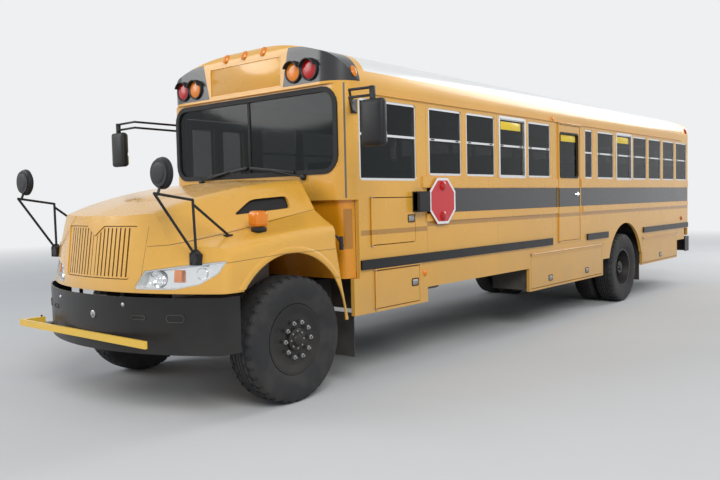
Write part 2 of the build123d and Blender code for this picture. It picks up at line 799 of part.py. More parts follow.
nose_outer = nose_shape(0)
with BuildPart() as hood:
    add(nose_outer)
    with BuildSketch(Plane.XZ.offset(-body_half)):
        with BuildLine():
            Polyline(
                (front_axle_x - hood_rear_back, 1900),
                (front_axle_x - hood_rear_back, 1250),
                (front_axle_x - 505, 970),
                (front_axle_x - 600, 600),
                (front_axle_x + arch_ahead, 600),
                (front_axle_x + arch_ahead, nose_bottom_z),
                (front_axle_x + 1130, nose_bottom_z),
                (front_axle_x + 1030, 1545),
                (front_axle_x + 960, 1640),
                (front_axle_x + 500, 1900),
                close=True,
            )
        make_face()
    extrude(amount=2 * body_half, mode=Mode.INTERSECT)
    add(nose_shape(hood_skin), mode=Mode.SUBTRACT)
    with BuildSketch(Plane.XZ.offset(-body_half)):
        with Locations(arch_centre):
            Circle(arch_r)
    extrude(amount=2 * body_half, mode=Mode.SUBTRACT)
    with BuildSketch(Plane.YZ.offset(front_axle_x + 700)):
        add(grille_outline(0))
    extrude(amount=600, mode=Mode.SUBTRACT)
    for side in (-1, 1):
        with BuildSketch(Plane.YZ.offset(front_axle_x + 640)):
            add(lamp_outline(side, 0))
        extrude(amount=600, mode=Mode.SUBTRACT)
    # Hinge lugs behind the nose's lower lip
    for side in (-1, 1):
        with BuildPart(mode=Mode.PRIVATE) as lug:
            box(front_axle_x + hood_pivot_ahead - 22, front_axle_x + 1110, side * 266, side * 284,
                hood_pivot_z - 20, hood_pivot_z + 60)
            add(nose_block(hood_skin), mode=Mode.INTERSECT)
            pivot = (front_axle_x + hood_pivot_ahead, side * 275, hood_pivot_z)
            with Locations(Plane(origin=pivot, z_dir=(0, 1, 0)).location):
                Cylinder(7 + bearing_gap, 30, mode=Mode.SUBTRACT)
        add(lug.part)
save(hood.part, "hood")

bar_pitch = 46.0
bar_gap = 24.0
bar_count = 10
with BuildPart() as grille:
    add(nose_block(2))
    add(nose_block(30), mode=Mode.SUBTRACT)
    with BuildSketch(Plane.YZ.offset(front_axle_x + 700)):
        add(grille_outline(0))
    extrude(amount=600, mode=Mode.INTERSECT)
    with BuildSketch(Plane.YZ.offset(front_axle_x + 700)):
        for side in (-1, 1):
            for bar in range(9):
                with Locations((side * (48 + bar * bar_pitch), (grille_low_z + notch_z) / 2)):
                    Rectangle(bar_gap, notch_z - grille_low_z - 90)
    extrude(amount=600, mode=Mode.SUBTRACT)
save(grille.part, "grille")

# Tubes of the crossover mirrors, their heads and feet, carried by the bonnet
mirror_post = (830.0, 1000.0)
crossover_head = (1110.0, 1000.0, 1840.0)
crossover_r = 95.0
with BuildPart() as crossover_mirrors:
    for side in (-1, 1):
        for start, end in (
            ((845.0, 1010.0, 1222.0), (853.0, 1000.0, 1650.0)),
            ((853.0, 1000.0, 1650.0), (1177.0, 1000.0, 1700.0)),
            ((847.0, 1010.0, 1240.0), (1177.0, 1000.0, 1700.0)),
            ((853.0, 1000.0, 1620.0), (525.0, 990.0, 1380.0)),
            ((1150.0, 1000.0, 1690.0), (1110.0, 1000.0, 1790.0)),
        ):
            begin = Vector(front_axle_x + start[0], side * start[1], start[2])
            run = Vector(front_axle_x + end[0], side * end[1], end[2]) - begin
            with Locations(Plane(origin=begin + run / 2, z_dir=run).location):
                Cylinder(10, run.length + 8)
        head = (front_axle_x + crossover_head[0], side * crossover_head[1], crossover_head[2])
        with Locations(Plane(origin=head, z_dir=(1, 0, 0)).location):
            Cylinder(crossover_r, 60)
        with BuildPart(mode=Mode.PRIVATE) as feet:
            box(front_axle_x + 800, front_axle_x + 868, side * 985, side * 1035, 1190, 1255)
            box(front_axle_x + 495, front_axle_x + 555, side * 970, side * 1010, 1330, 1385)
            add(nose_outer, mode=Mode.SUBTRACT)
        add(feet.part)
save(crossover_mirrors.part, "crossover_mirrors")

# Headlamps let into the nose, and turn lamps standing on the fenders
with BuildPart() as nose_lamps:
    for side in (-1, 1):
        box(front_axle_x + 225, front_axle_x + 345, side * 1010, side * 1120, 1430, 1555)
        box(front_axle_x + 260, front_axle_x + 310, side * 1050, side * 1095, 1320, 1430)
    add(nose_outer, mode=Mode.SUBTRACT)
    for side in (-1, 1):
        with BuildPart(mode=Mode.PRIVATE) as lamp:
            add(nose_block(3))
            add(nose_block(40), mode=Mode.SUBTRACT)
            with BuildSketch(Plane.YZ.offset(front_axle_x + 642)):
                add(lamp_outline(side, 0))
            extrude(amount=600, mode=Mode.INTERSECT)
        add(lamp.part)
save(nose_lamps.part, "nose_lamps")

# Front bumper: a curved channel wrapped toward the wheels
bumper_ahead = 1165.0
bumper_low_z = 520.0
bumper_high_z = 940.0
bumper_steel = 12.0
bumper_back = 615.0


def bumper_plan(inset):
    """Plan of the front bumper inside its face by the inset."""
    half = body_half - 10 - inset
    front = front_axle_x + bumper_ahead - inset
    edge = front - nose_radius + math.sqrt(nose_radius**2 - half**2)
    back = front_axle_x + bumper_back - (1 if inset else 0)
    with BuildSketch() as plan:
        with BuildLine():
            Polyline((edge, half), (back, half), (back, -half), (edge, -half))
            ThreePointArc((edge, -half), (front, 0), (edge, half))
        make_face()
    return plan.sketch


with BuildPart() as front_bumper:
    with BuildSketch(Plane.XY.offset(bumper_low_z)):
        add(bumper_plan(0))
    extrude(amount=bumper_high_z - bumper_low_z)
    with BuildSketch(Plane.XY.offset(bumper_low_z)):
        add(bumper_plan(bumper_steel))
    extrude(amount=bumper_high_z - bumper_low_z, mode=Mode.SUBTRACT)
    for side in (-1, 1):
        box(frame_front_x, front_axle_x + 1116, side * 350, side * 430, rail_low_z + 20, rail_top_z - 20)
        # Horn that carries the nose's hinge pin
        horn_x = front_axle_x + hood_pivot_ahead - 52
        box(horn_x, horn_x + 25, side * 292, side * 400, 760, rail_top_z - 20)
        box(horn_x, horn_x + 25, side * 292, side * 308, 760, hood_pivot_z + 16)
        box(horn_x, front_axle_x + hood_pivot_ahead + 7, side * 292, side * 308, hood_pivot_z - 8, hood_pivot_z + 16)
        pivot = (front_axle_x + hood_pivot_ahead, side * 284, hood_pivot_z)
        with Locations(Plane(origin=pivot, z_dir=(0, 1, 0)).location):
            Cylinder(7, 44)
    # Bracket below the crossing arm's pivot
    box(front_axle_x + 900, front_axle_x + 1040, -1060, -960, 560, 594)
    with Locations((front_axle_x + 1010, -1010, 630)):
        Cylinder(8, 76)
save(front_bumper.part, "front_bumper")

with BuildPart() as rear_bumper:
    box(-overall_length / 2, -overall_length / 2 + 12, -1170, 1170, 560, 830)
    for side in (-1, 1):
        box(-overall_length / 2 + 12, body_rear_x + 60, side * 1158, side * 1170, 560, 830)
        box(-overall_length / 2 + 12, frame_rear_x, side * (rail_half - 70), side * rail_half, 620, 820)
save(rear_bumper.part, "rear_bumper")

# Crossing arm, folded across the bumper
arm_x = front_axle_x + bumper_ahead + 12.0
arm_pivot_y = -1010.0
arm_pivot_ahead = 1010.0
arm_z = (600.0, 655.0)
with BuildPart() as crossing_arm:
    box(arm_x, arm_x + 22, arm_pivot_y + 40, 850, *arm_z)
    box(front_axle_x + arm_pivot_ahead - 16, arm_x + 22, arm_pivot_y - 18, arm_pivot_y + 40, *arm_z)
    with Locations((front_axle_x + arm_pivot_ahead, arm_pivot_y, 630)):
        Cylinder(8 + bearing_gap, 90, mode=Mode.SUBTRACT)
save(crossing_arm.part, "crossing_arm")

# Doors, each as thick as the wall, with their glass


hinge_off = 12.0
hinge_tube_r = 7.0
hinge_pin_r = 3.5
hinge_pins = []


def hinge_line(at, out, into, low, high):
    """A door's hinge tube and strap: at is the pin's foot, out the wall's normal, into toward the leaf."""
    up = Vector(1, 0, 0) if abs(Vector(*into).Z) > 0.5 else Vector(0, 0, 1)
    out_dir = Vector(*out)
    into_dir = Vector(*into)
    centre = Vector(*at) + out_dir * hinge_off + up * ((low + high) / 2)
    frame_plane = Plane(origin=centre, x_dir=into_dir, z_dir=up)
    side = 1 if (up.cross(into_dir) - out_dir).length < 0.1 else -1
    with BuildPart(mode=Mode.PRIVATE) as tube_strap:
        with BuildSketch(frame_plane):
            Circle(hinge_tube_r)
            with Locations((17.5, side * -8)):
                Rectangle(29, 8)
            Circle(hinge_pin_r + bearing_gap, mode=Mode.SUBTRACT)
        extrude(amount=(high - low) / 2, both=True)
    add(tube_strap.part)
    hinge_pins.append((frame_plane, side, high - low))


def leaf_panel(plane, x0, x1, z0, z1, windows, name, glass_name, hinge, radius=window_radius):
    """A door leaf with window openings and its hinge, and panes set into the middle of its thickness."""
    with BuildPart() as leaf:
        with BuildSketch(plane):
            with Locations(((x0 + x1) / 2, (z0 + z1) / 2)):
                Rectangle(abs(x1 - x0), z1 - z0)
            for a, b, low, high in windows:
                rectangle_cut(a, b, low, high, radius)
        extrude(amount=wall)
        hinge_line(*hinge, z0, z1)
    save(leaf.part, name)
    with BuildPart() as panes:
        with BuildSketch(plane.offset(wall / 2 - 4)):
            for a, b, low, high in windows:
                with Locations(((a + b) / 2, (low + high) / 2)):
                    RectangleRounded(abs(b - a), high - low, radius)
        extrude(amount=8)
    save(panes.part, glass_name)


leaf_panel(left_plane, station(side_door[0]) - door_gap, station(side_door[1]) + door_gap,
           side_door_low_z + door_gap, header_z - door_gap,
           ((station(4740), station(5290), 1858, 2430),), "side_exit_door", "side_exit_glass",
           ((station(side_door[0]) - door_gap / 2, body_half, 0), (0, 1, 0), (-1, 0, 0)))
leaf_mid = (station(entry[0]) + station(entry[1])) / 2
leaf_panel(right_plane, station(entry[0]) - door_gap, leaf_mid + leaf_gap / 2,
           step_low_z + 25, header_z - door_gap,
           ((station(entry[0]) - 60, leaf_mid + 60, 520, 1420), (station(entry[0]) - 60, leaf_mid + 60, 1500, 2440)),
           "entry_leaf_front", "entry_glass_front",
           ((station(entry[0]) - door_gap / 2, -body_half, 0), (0, -1, 0), (-1, 0, 0)))
leaf_panel(right_plane, leaf_mid - leaf_gap / 2, station(entry[1]) + door_gap,
           step_low_z + 25, header_z - door_gap,
           ((leaf_mid - 60, station(entry[1]) + 60, 520, 1420), (leaf_mid - 60, station(entry[1]) + 60, 1500, 2440)),
           "entry_leaf_rear", "entry_glass_rear",
           ((station(entry[1]) + door_gap / 2, -body_half, 0), (0, -1, 0), (1, 0, 0)))
rear_plane = Plane(origin=(body_rear_x + wall, 0, 0), x_dir=(0, -1, 0), z_dir=(-1, 0, 0))
leaf_panel(rear_plane, -rear_door_half + door_gap, rear_door_half - door_gap,
           side_door_low_z + door_gap, header_z - door_gap,
           ((-370, 370, 1250, 1660), (-370, 370, 1850, 2440)), "rear_exit_door", "rear_exit_glass",
           ((body_rear_x, -rear_door_half + door_gap / 2, 0), (-1, 0, 0), (0, 1, 0)))

with BuildPart() as battery_door:
    with BuildSketch(left_plane):
        with Locations((station(sum(battery) / 2), sum(battery_z) / 2)):
            Rectangle(battery[1] - battery[0] - 2 * door_gap, battery_z[1] - battery_z[0] - 2 * door_gap)
    extrude(amount=wall)
    hinge_line((station(battery[0]) - door_gap / 2, body_half, 0), (0, 1, 0), (-1, 0, 0),
               battery_z[0] + door_gap, battery_z[1] - door_gap)
save(battery_door.part, "battery_door")

with BuildPart() as service_hatch:
    with BuildSketch(left_plane):
        with Locations((station(sum(hatch) / 2), sum(hatch_z) / 2)):
            RectangleRounded(hatch[1] - hatch[0] - 2 * door_gap, hatch_z[1] - hatch_z[0] - 2 * door_gap, 24)
    extrude(amount=wall)
    hinge_line((station(hatch[0]) - door_gap / 2, body_half, 0), (0, 1, 0), (-1, 0, 0),
               hatch_z[0] + door_gap, hatch_z[1] - door_gap)
save(service_hatch.part, "service_hatch")

# Holds below the floor, open at the side where their doors hang
with BuildPart() as holds:
    for (front_back, rear_back), (low, high) in ((battery, battery_z), (luggage, luggage_z), (tail_box, tail_box_z)):
        with BuildPart(mode=Mode.PRIVATE) as hold:
            box(station(front_back - 10), station(rear_back + 10), hold_in, floor_half, low - 10, high + 10)
            cut_box(station(front_back - 10) - sheet_metal, station(rear_back + 10) + sheet_metal,
                    hold_in + sheet_metal, floor_half + 1, low - 10 + sheet_metal, high + 10 - sheet_metal)
        add(hold.part)
    # Recess behind the service hatch
    with BuildPart(mode=Mode.PRIVATE) as recess:
        box(station(hatch[0] - 10), station(hatch[1] + 10), floor_half - 130, floor_half,
            hatch_z[0] - 10, hatch_z[1] + 10)
        cut_box(station(hatch[0] - 10) - sheet_metal, station(hatch[1] + 10) + sheet_metal,
                floor_half - 130 + sheet_metal, floor_half + 1,
                hatch_z[0] - 10 + sheet_metal, hatch_z[1] + 10 - sheet_metal)
    add(recess.part)
save(holds.part, "holds")

for name, (front_back, rear_back), (low, high) in (
    ("luggage_door", luggage, luggage_z),
    ("tail_hold_door", tail_box, tail_box_z),
):
    with BuildPart() as hold_door:
        box(station(front_back) - door_gap, station(rear_back) + door_gap,
            floor_half, body_half, low + door_gap, high - door_gap)
        hinge_line((0, body_half, high - door_gap / 2), (0, 1, 0), (0, 0, -1),
                   station(rear_back) + door_gap, station(front_back) - door_gap)
    save(hold_door.part, name)

# Hinge pins of the doors, each held by a lug at either end
with BuildPart() as door_hinges:
    for frame_plane, side, length in hinge_pins:
        with BuildPart(mode=Mode.PRIVATE) as pin:
            with BuildSketch(frame_plane):
                Circle(hinge_pin_r)
            extrude(amount=length / 2 + 8, both=True)
            for end in (-1, 1):
                with BuildSketch(frame_plane.offset(end * (length / 2 + 2) - (12 if end < 0 else 0))):
                    with Locations((-1.5, -side * 2)):
                        Rectangle(17, 20)
                extrude(amount=12)
        add(pin.part)
save(door_hinges.part, "door_hinges")

# Side glazing: aluminium sashes with a middle bar, and panes behind the bars
sash = 22.0
sash_out = 6.0
pane_depth = 22.0
mid_bar_z = 2190.0
left_windows = [(bay_x(i) - pillar / 2, bay_x(i + 1) + pillar / 2, sill_z) for i in (0, 1, 2, 3, 6, 7, 8, 9, 10, 11)]
left_windows.append((station(narrow_window[0]), station(narrow_window[1]), sill_z))
left_windows.append((station(driver_window[0]), station(driver_window[1]), driver_sill_z))
right_windows = [(bay_x(i) - pillar / 2, bay_x(i + 1) + pillar / 2, sill_z) for i in range(bay_count)]


def sash_openings(windows, grow):
    """The glazed openings of a row of windows, below and above the middle bar."""
    for x1, x0, low in windows:
        high = window_high_z
        with Locations(((x0 + x1) / 2, (low + mid_bar_z) / 2 + sash / 2)):
            Rectangle(x1 - x0 - 2 * sash, mid_bar_z - low - sash, mode=grow)
        with Locations(((x0 + x1) / 2, (high + mid_bar_z) / 2)):
            Rectangle(x1 - x0 - 2 * sash, high - mid_bar_z - 2 * sash, mode=grow)


with BuildPart() as window_sashes:
    for side, windows in ((1, left_windows), (-1, right_windows)):
        with BuildSketch(Plane.XZ.offset(-body_half + sash_out if side > 0 else body_half - wall)):
            for x1, x0, low in windows:
                with Locations(((x0 + x1) / 2, (low + window_high_z) / 2)):
                    RectangleRounded(x1 - x0, window_high_z - low, window_radius)
            sash_openings(windows, Mode.SUBTRACT)
        extrude(amount=wall - sash_out)
save(window_sashes.part, "window_sashes")

# Body glass: windscreen, side panes and the rear windows
glass_thick = 8.0
glass_inset = 10.0
with BuildPart() as windscreen:
    with BuildSketch(Plane.XY.offset(screen_low_z)):
        add(front_plan(glass_inset, side_start_x, screen_corner))
    extrude(amount=screen_high_z - screen_low_z)
    with BuildSketch(Plane.XY.offset(screen_low_z)):
        add(front_plan(glass_inset + glass_thick, side_start_x - 1, screen_corner))
    extrude(amount=screen_high_z - screen_low_z, mode=Mode.SUBTRACT)
    with BuildSketch(Plane.YZ.offset(windscreen_x - screen_depth)):
        with Locations((0, (screen_low_z + screen_high_z) / 2)):
            RectangleRounded(2 * screen_half, screen_high_z - screen_low_z, screen_radius)
    extrude(amount=2 * screen_depth, mode=Mode.INTERSECT)

with BuildPart() as body_glass:
    add(windscreen.part)
    for side, windows in ((1, left_windows), (-1, right_windows)):
        with BuildSketch(Plane.XZ.offset(-side * (body_half - pane_depth))):
            sash_openings(windows, Mode.ADD)
        extrude(amount=3, both=True)
    with BuildSketch(Plane.YZ.offset(body_rear_x + wall / 2 - 4)):
        for side in (-1, 1):
            with Locations((side * sum(rear_window) / 2, (sill_z + rear_window_high_z) / 2)):
                RectangleRounded(rear_window[1] - rear_window[0], rear_window_high_z - sill_z, window_radius)
    extrude(amount=8)
save(body_glass.part, "body_glass")

# Rails along the body: (front, rear, low z, high z), distances behind the front axle
rub_out = 20.0
sill_out = 16.0
seat_out = 14.0
floor_rails = ((755.0, 4493.0), (5560.0, 6290.0), (7730.0, 10010.0))
floor_rails_right = ((1680.0, 6290.0), (7730.0, 10010.0))
with BuildPart() as rub_rails:
    for side, spans in ((1, floor_rails), (-1, floor_rails_right)):
        for front_back, rear_back in spans:
            box(station(front_back), station(rear_back), side * body_half, side * (body_half + rub_out), 1010, 1096)
save(rub_rails.part, "rub_rails")

with BuildPart() as body_rails:
    for side, spans in (
        (1, ((1700.0, 4660.0), (5370.0, 10010.0))),
        (-1, ((1700.0, 10010.0),)),
    ):
        for front_back, rear_back in spans:
            box(station(front_back), station(rear_back), side * body_half, side * (body_half + sill_out), 1730, 1838)
            box(station(front_back + 60), station(rear_back), side * body_half, side * (body_half + seat_out), 1402, 1474)
save(body_rails.part, "body_rails")

# Stop arm: an eight-sided blank plate on a hinge at its forward edge
stop_box = (1540.0, 1733.0)
stop_hinge_back = 1752.0
stop_hinge_y = body_half + 32.0
stop_across = 457.0
stop_pin = 5.0
stop_centre = (2000.0, 1598.0)
with BuildPart() as stop_arm_base:
    box(station(stop_box[0]), station(stop_box[1]), body_half, body_half + 72, 1500, 1692)
    for z in (1500.0, 1680.0):
        box(station(stop_box[1]), station(stop_hinge_back + 9), stop_hinge_y - 9, stop_hinge_y + 9, z, z + 12)
    with Locations((station(stop_hinge_back), stop_hinge_y, 1596)):
        Cylinder(stop_pin, 180)
save(stop_arm_base.part, "stop_arm_base")
with BuildPart() as stop_arm:
    with BuildSketch(Plane.XZ.offset(-stop_hinge_y - 6)):
        with Locations((station(stop_centre[0]), stop_centre[1])):
            RegularPolygon(stop_across / 2, 8, major_radius=False, rotation=22.5)
    extrude(amount=6)
    for z in (1545.0, 1625.0):
        box(station(stop_hinge_back - 9), station(stop_centre[0] - 120), stop_hinge_y - 9, stop_hinge_y, z, z + 26)
        box(station(stop_hinge_back - 9), station(stop_hinge_back + 9), stop_hinge_y - 9, stop_hinge_y + 9, z, z + 26)
        with Locations((station(stop_hinge_back), stop_hinge_y, z + 13)):
            Cylinder(stop_pin + bearing_gap, 30, mode=Mode.SUBTRACT)
    for z in (stop_centre[1] - 150, stop_centre[1] + 150):
        with Locations(Plane(origin=(station(stop_centre[0]), stop_hinge_y + 3, z), z_dir=(0, 1, 0)).location):
            Cylinder(48, 26)
save(stop_arm.part, "stop_arm")

# Warning lamps, clearance lamps and tail lamps
lamp_r = 90.0
front_lamp_ys = (-922.0, -725.0, 665.0, 862.0)
front_lamp_z = 2770.0
rear_lamp_ys = (-860.0, -660.0, 660.0, 860.0)
with BuildPart() as body_lamps:
    for y in front_lamp_ys:
        with Locations(Plane(origin=(front_cap_x + 8, y, front_lamp_z), z_dir=(1, 0, 0)).location):
            Cylinder(lamp_r, 16 + 120)
    add(front_cap_outer, mode=Mode.SUBTRACT)
    cut_box(front_cap_x - 200, front_cap_x - 60, -body_half, body_half, 2600, 2900)
    for y in rear_lamp_ys:
        with Locations(Plane(origin=(body_rear_x - 8, y, 2625), z_dir=(1, 0, 0)).location):
            Cylinder(lamp_r, 16 + 120)
    add(rear_cap_outer, mode=Mode.SUBTRACT)
    cut_box(body_rear_x + 30, body_rear_x + 200, -body_half, body_half, 2500, 2800)
    for side in (-1, 1):
        for z, radius in ((1180.0, 60.0), (1330.0, 85.0), (1530.0, 85.0)):
            with Locations(Plane(origin=(body_rear_x - 9, side * 860, z), z_dir=(1, 0, 0)).location):
                Cylinder(radius, 18)
save(body_lamps.part, "body_lamps")

# Side mirrors on ladder arms
mirror_y = 1760.0
with BuildPart() as side_mirrors:
    for side in (-1, 1):
        for z in (2400.0, 2460.0):
            for start, end in (
                ((windscreen_x - 90, 1219.0, z), (station(330), 1500.0, z + 40)),
                ((station(330), 1500.0, z + 40), (station(300), mirror_y, z + 30)),
            ):
                begin = Vector(start[0], side * start[1], start[2])
                run = Vector(end[0], side * end[1], end[2]) - begin
                with Locations(Plane(origin=begin + run / 2, z_dir=run).location):
                    Cylinder(11, run.length + 10)
        box(station(320), station(280), side * (mirror_y - 15), side * (mirror_y + 15), 2060, 2500)
        box(station(345), station(270), side * (mirror_y - 110), side * (mirror_y + 110), 2040, 2400)
        box(windscreen_x - 150, windscreen_x - 80, side * body_half, side * (body_half + 14), 2370, 2490)
    add(windscreen_frame.part, mode=Mode.SUBTRACT)
save(side_mirrors.part, "side_mirrors")

# Wipers
with BuildPart() as wipers:
    for y in (-720.0, 720.0):
        with Locations((windscreen_x + 22, y, 1835)):
            Box(44, 60, 40)
        begin = Vector(windscreen_x + 34, y, 1840)
        end = Vector(windscreen_x + 20, y + (560 if y < 0 else -560), 1990)
        run = end - begin
        with Locations(Plane(origin=begin + run / 2, z_dir=run).location):
            Cylinder(8, run.length)
save(wipers.part, "wipers")

# Mud flaps
with BuildPart() as mud_flaps:
    for side in (-1, 1):
        box(station(700), station(692), side * 940, side * floor_half, 250, 640)
        box(rear_axle_x - 690, rear_axle_x - 682, side * 560, side * 1170, 260, floor_low)
save(mud_flaps.part, "mud_flaps")

# Seats: (row station behind the axle) on each side of the aisle
seat_pitch = 720.0
seat_rows = [2150.0 + row * seat_pitch for row in range(11)]
with BuildPart() as seats:
    for back in seat_rows:
        over_wheel = abs(station(back) - 360 - rear_axle_x) < wheelhouse_half + 30
        for side in (-1, 1):
            if side > 0 and 4500 < back < 5400:
                continue
            box(station(back) - 420, station(back), side * 260, side * 1150, floor_top + 330, floor_top + 450)
            box(station(back) - 480, station(back) - 400, side * 260, side * 1150, floor_top + 360, floor_top + 1060)
            for leg_y in (320.0, 1080.0):
                foot_z = wheelhouse_z + sheet_metal if over_wheel and leg_y > wheelhouse_in else floor_top
                box(station(back) - 380, station(back) - 340, side * leg_y, side * (leg_y + 30), foot_z, floor_top + 330)
    box(station(1560), station(1080), 420, 920, floor_top + 380, floor_top + 500)
    box(station(1640), station(1520), 430, 910, floor_top + 420, floor_top + 1150)
    box(station(1450), station(1200), 560, 780, floor_top, floor_top + 380)
save(seats.part, "seats")

dash_x = windscreen_x - cowl_inset - wall
with BuildPart() as dashboard:
    box(dash_x - 260, dash_x, -560, 1040, 1560, 1700)
    box(dash_x - 60, dash_x, -560, 1040, floor_top, 1560)
    with Locations(Plane(origin=(dash_x - 330, 670, 1720), z_dir=(-0.5, 0, 0.866)).location):
        Cylinder(225, 26)
    with Locations(Plane(origin=(dash_x - 250, 670, 1590), z_dir=(-0.5, 0, 0.866)).location):
        Cylinder(30, 300)
save(dashboard.part, "dashboard")
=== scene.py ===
# %% [markdown]
# A conventional school bus, dressed for rendering. The imported solids come in first, as a fixed frame in
# metres: +X forward, +Y to the bus's left, +Z up, with the origin on the ground below its middle. Every
# piece below is set against them.

# %% Load the solids
import math

import bpy
from mathutils import Matrix, Vector


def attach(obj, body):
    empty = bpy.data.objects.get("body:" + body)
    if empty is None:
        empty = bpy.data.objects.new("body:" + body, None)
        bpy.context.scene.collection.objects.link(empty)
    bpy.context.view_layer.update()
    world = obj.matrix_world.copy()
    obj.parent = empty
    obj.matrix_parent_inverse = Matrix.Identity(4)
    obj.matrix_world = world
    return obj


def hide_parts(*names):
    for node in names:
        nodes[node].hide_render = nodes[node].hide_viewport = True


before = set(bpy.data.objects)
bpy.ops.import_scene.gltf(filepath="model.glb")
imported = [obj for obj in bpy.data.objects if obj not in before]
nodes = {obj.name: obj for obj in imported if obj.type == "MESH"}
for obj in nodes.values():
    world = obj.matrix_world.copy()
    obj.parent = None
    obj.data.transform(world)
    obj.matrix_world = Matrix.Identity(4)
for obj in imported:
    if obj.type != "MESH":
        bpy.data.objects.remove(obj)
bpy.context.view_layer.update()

# %% [markdown]
# The places that many pieces share are named once. They repeat the sizes of the solids: the axles, the
# body's half width, the windscreen, the front cap, the tail, the window bays and the tyres.

# %% Shared places
AXLE = 4.540
REAR_AXLE = -2.470
HALF = 1.219
SCREEN_X = AXLE - 0.590
CAP_X = SCREEN_X + 0.040
REAR_X = -5.580
BAY_START = AXLE - 1.780
BAY_PITCH = 0.686
PILLAR = 0.090
TYRE_R = 0.515
AHEAD, ASTERN, UP = (1, 0, 0), (-1, 0, 0), (0, 0, 1)
SIDES = ((1, "left"), (-1, "right"))


def back(distance):
    """A station along the bus, measured back from the front axle."""
    return AXLE - distance


print("wheelbase", round(AXLE - REAR_AXLE, 3))

# %% [markdown]
# Finishes are built from shader nodes. Writing the maths as Python expressions keeps it readable: a Wire
# is one number on its way between nodes, and adding, multiplying or comparing wires adds the Math nodes.
# Colours and directions must not pass through Math nodes, so they go through Mix and Vector Math instead.

# %% A number that travels between shader nodes
class Wire:
    """One number between shader nodes. Arithmetic on it adds Math nodes."""

    def __init__(self, paint, socket):
        self.paint = paint
        self.socket = socket

    def math(self, operation, first, second=None, third=None):
        node = self.paint.nodes.new("ShaderNodeMath")
        node.operation = operation
        for place, value in enumerate((first, second, third)):
            if value is not None:
                self.paint.feed(node.inputs[place], value)
        return Wire(self.paint, node.outputs[0])

    def __add__(self, other):
        return self.math("ADD", self, other)

    __radd__ = __add__

    def __sub__(self, other):
        return self.math("SUBTRACT", self, other)

    def __rsub__(self, other):
        return self.math("SUBTRACT", other, self)

    def __mul__(self, other):
        return self.math("MULTIPLY", self, other)

    __rmul__ = __mul__

    def __gt__(self, other):
        return self.math("GREATER_THAN", self, other)

    def __lt__(self, other):
        return self.math("LESS_THAN", self, other)

    def __pow__(self, other):
        return self.math("POWER", self, other)

    def __abs__(self):
        return self.math("ABSOLUTE", self)

    def within(self, low, high):
        """1 between two values, else 0."""
        return (self > low) * (self < high)

    def sine(self):
        return self.math("SINE", self)

    def clamp(self):
        return self.math("MINIMUM", self.math("MAXIMUM", self, 0.0), 1.0)

    def wrap(self, period):
        return self.math("WRAP", self, period, 0.0)

    def ramp(self, low, high):
        """0 below low, 1 above high, and a straight slope between them."""
        return ((self - low) * (1.0 / (high - low))).clamp()


# %% [markdown]
# A Paint is one material under construction. One method adds any node: its type, its settings, which are
# set first, and the values or links of its sockets. What is the same all over goes straight on the
# shader's own sockets.

# %% A material under construction
FINISH = {}


class Paint:
    """A material with a Principled shader, built up node by node and listed under its name."""

    def __init__(self, name, colour, roughness, metallic=0.0, **fixed):
        self.material = bpy.data.materials.new(name)
        self.material.use_nodes = True
        self.nodes = self.material.node_tree.nodes
        self.links = self.material.node_tree.links
        self.shader = self.nodes["Principled BSDF"]
        self.output = self.nodes["Material Output"]
        for socket, value in {"Base Color": colour, "Roughness": roughness, "Metallic": metallic, **fixed}.items():
            self.set(socket.replace("_", " "), value)
        FINISH[name] = self

    def feed(self, socket, value):
        if isinstance(value, Wire):
            self.links.new(value.socket, socket)
        elif hasattr(value, "is_linked"):
            self.links.new(value, socket)
        elif isinstance(value, tuple) and len(value) == 3 and socket.type == "RGBA":
            socket.default_value = (*value, 1.0)
        else:
            socket.default_value = value

    def set(self, socket, value):
        self.feed(self.shader.inputs[socket], value)

    def add(self, kind, settings=None, outlet=0, **sockets):
        """Adds a node of any type and returns one of its outlets."""
        node = self.nodes.new(kind)
        for name, value in (settings or {}).items():
            setattr(node, name, value)
        for name, value in sockets.items():
            key = int(name[1:]) if name[0] == "s" and name[1:].isdigit() else name.replace("_", " ")
            self.feed(node.inputs[key], value)
        return node.outputs[outlet]

    def place(self):
        """The point on the piece, in metres, as three wires."""
        split = self.nodes.new("ShaderNodeSeparateXYZ")
        self.links.new(self.spot(), split.inputs[0])
        return [Wire(self, split.outputs[axis]) for axis in range(3)]

    def spot(self):
        return self.add("ShaderNodeTexCoord", outlet="Object")

    def noise(self, scale, detail=3.0, stretch=(1.0, 1.0, 1.0)):
        """Soft mottling between 0 and 1, in patches of about 1/scale metres."""
        at = self.add("ShaderNodeVectorMath", {"operation": "MULTIPLY"}, s0=self.spot(), s1=stretch)
        return Wire(self, self.add("ShaderNodeTexNoise", outlet="Fac", Vector=at, Scale=scale, Detail=detail))

    def cells(self, scale):
        """Distance to the nearest of many scattered points."""
        return Wire(self, self.add("ShaderNodeTexVoronoi", outlet="Distance", Vector=self.spot(), Scale=scale))

    def mix(self, factor, first, second):
        """A colour between two colours."""
        return self.add("ShaderNodeMix", {"data_type": "RGBA"}, 2, s0=factor, s6=first, s7=second)

    def uneven(self, colour):
        """A paint colour that differs a little from panel to panel."""
        return self.mix(self.noise(0.9, 3.0).ramp(0.35, 0.65), colour, tuple(c * 0.93 for c in colour))

    def bump(self, height, distance, strength=1.0):
        node = self.nodes.new("ShaderNodeBump")
        node.inputs["Strength"].default_value = strength
        node.inputs["Distance"].default_value = distance
        self.feed(node.inputs["Height"], height)
        self.set("Normal", node.outputs[0])


# %% [markdown]
# School bus yellow is a gloss enamel sprayed over sheet steel. It is never quite even: the coat has a
# faint orange peel, the panels differ slightly, and road dust greys the skirts near the ground. The dust
# follows the height above the road, so it lies in the same place from every side.

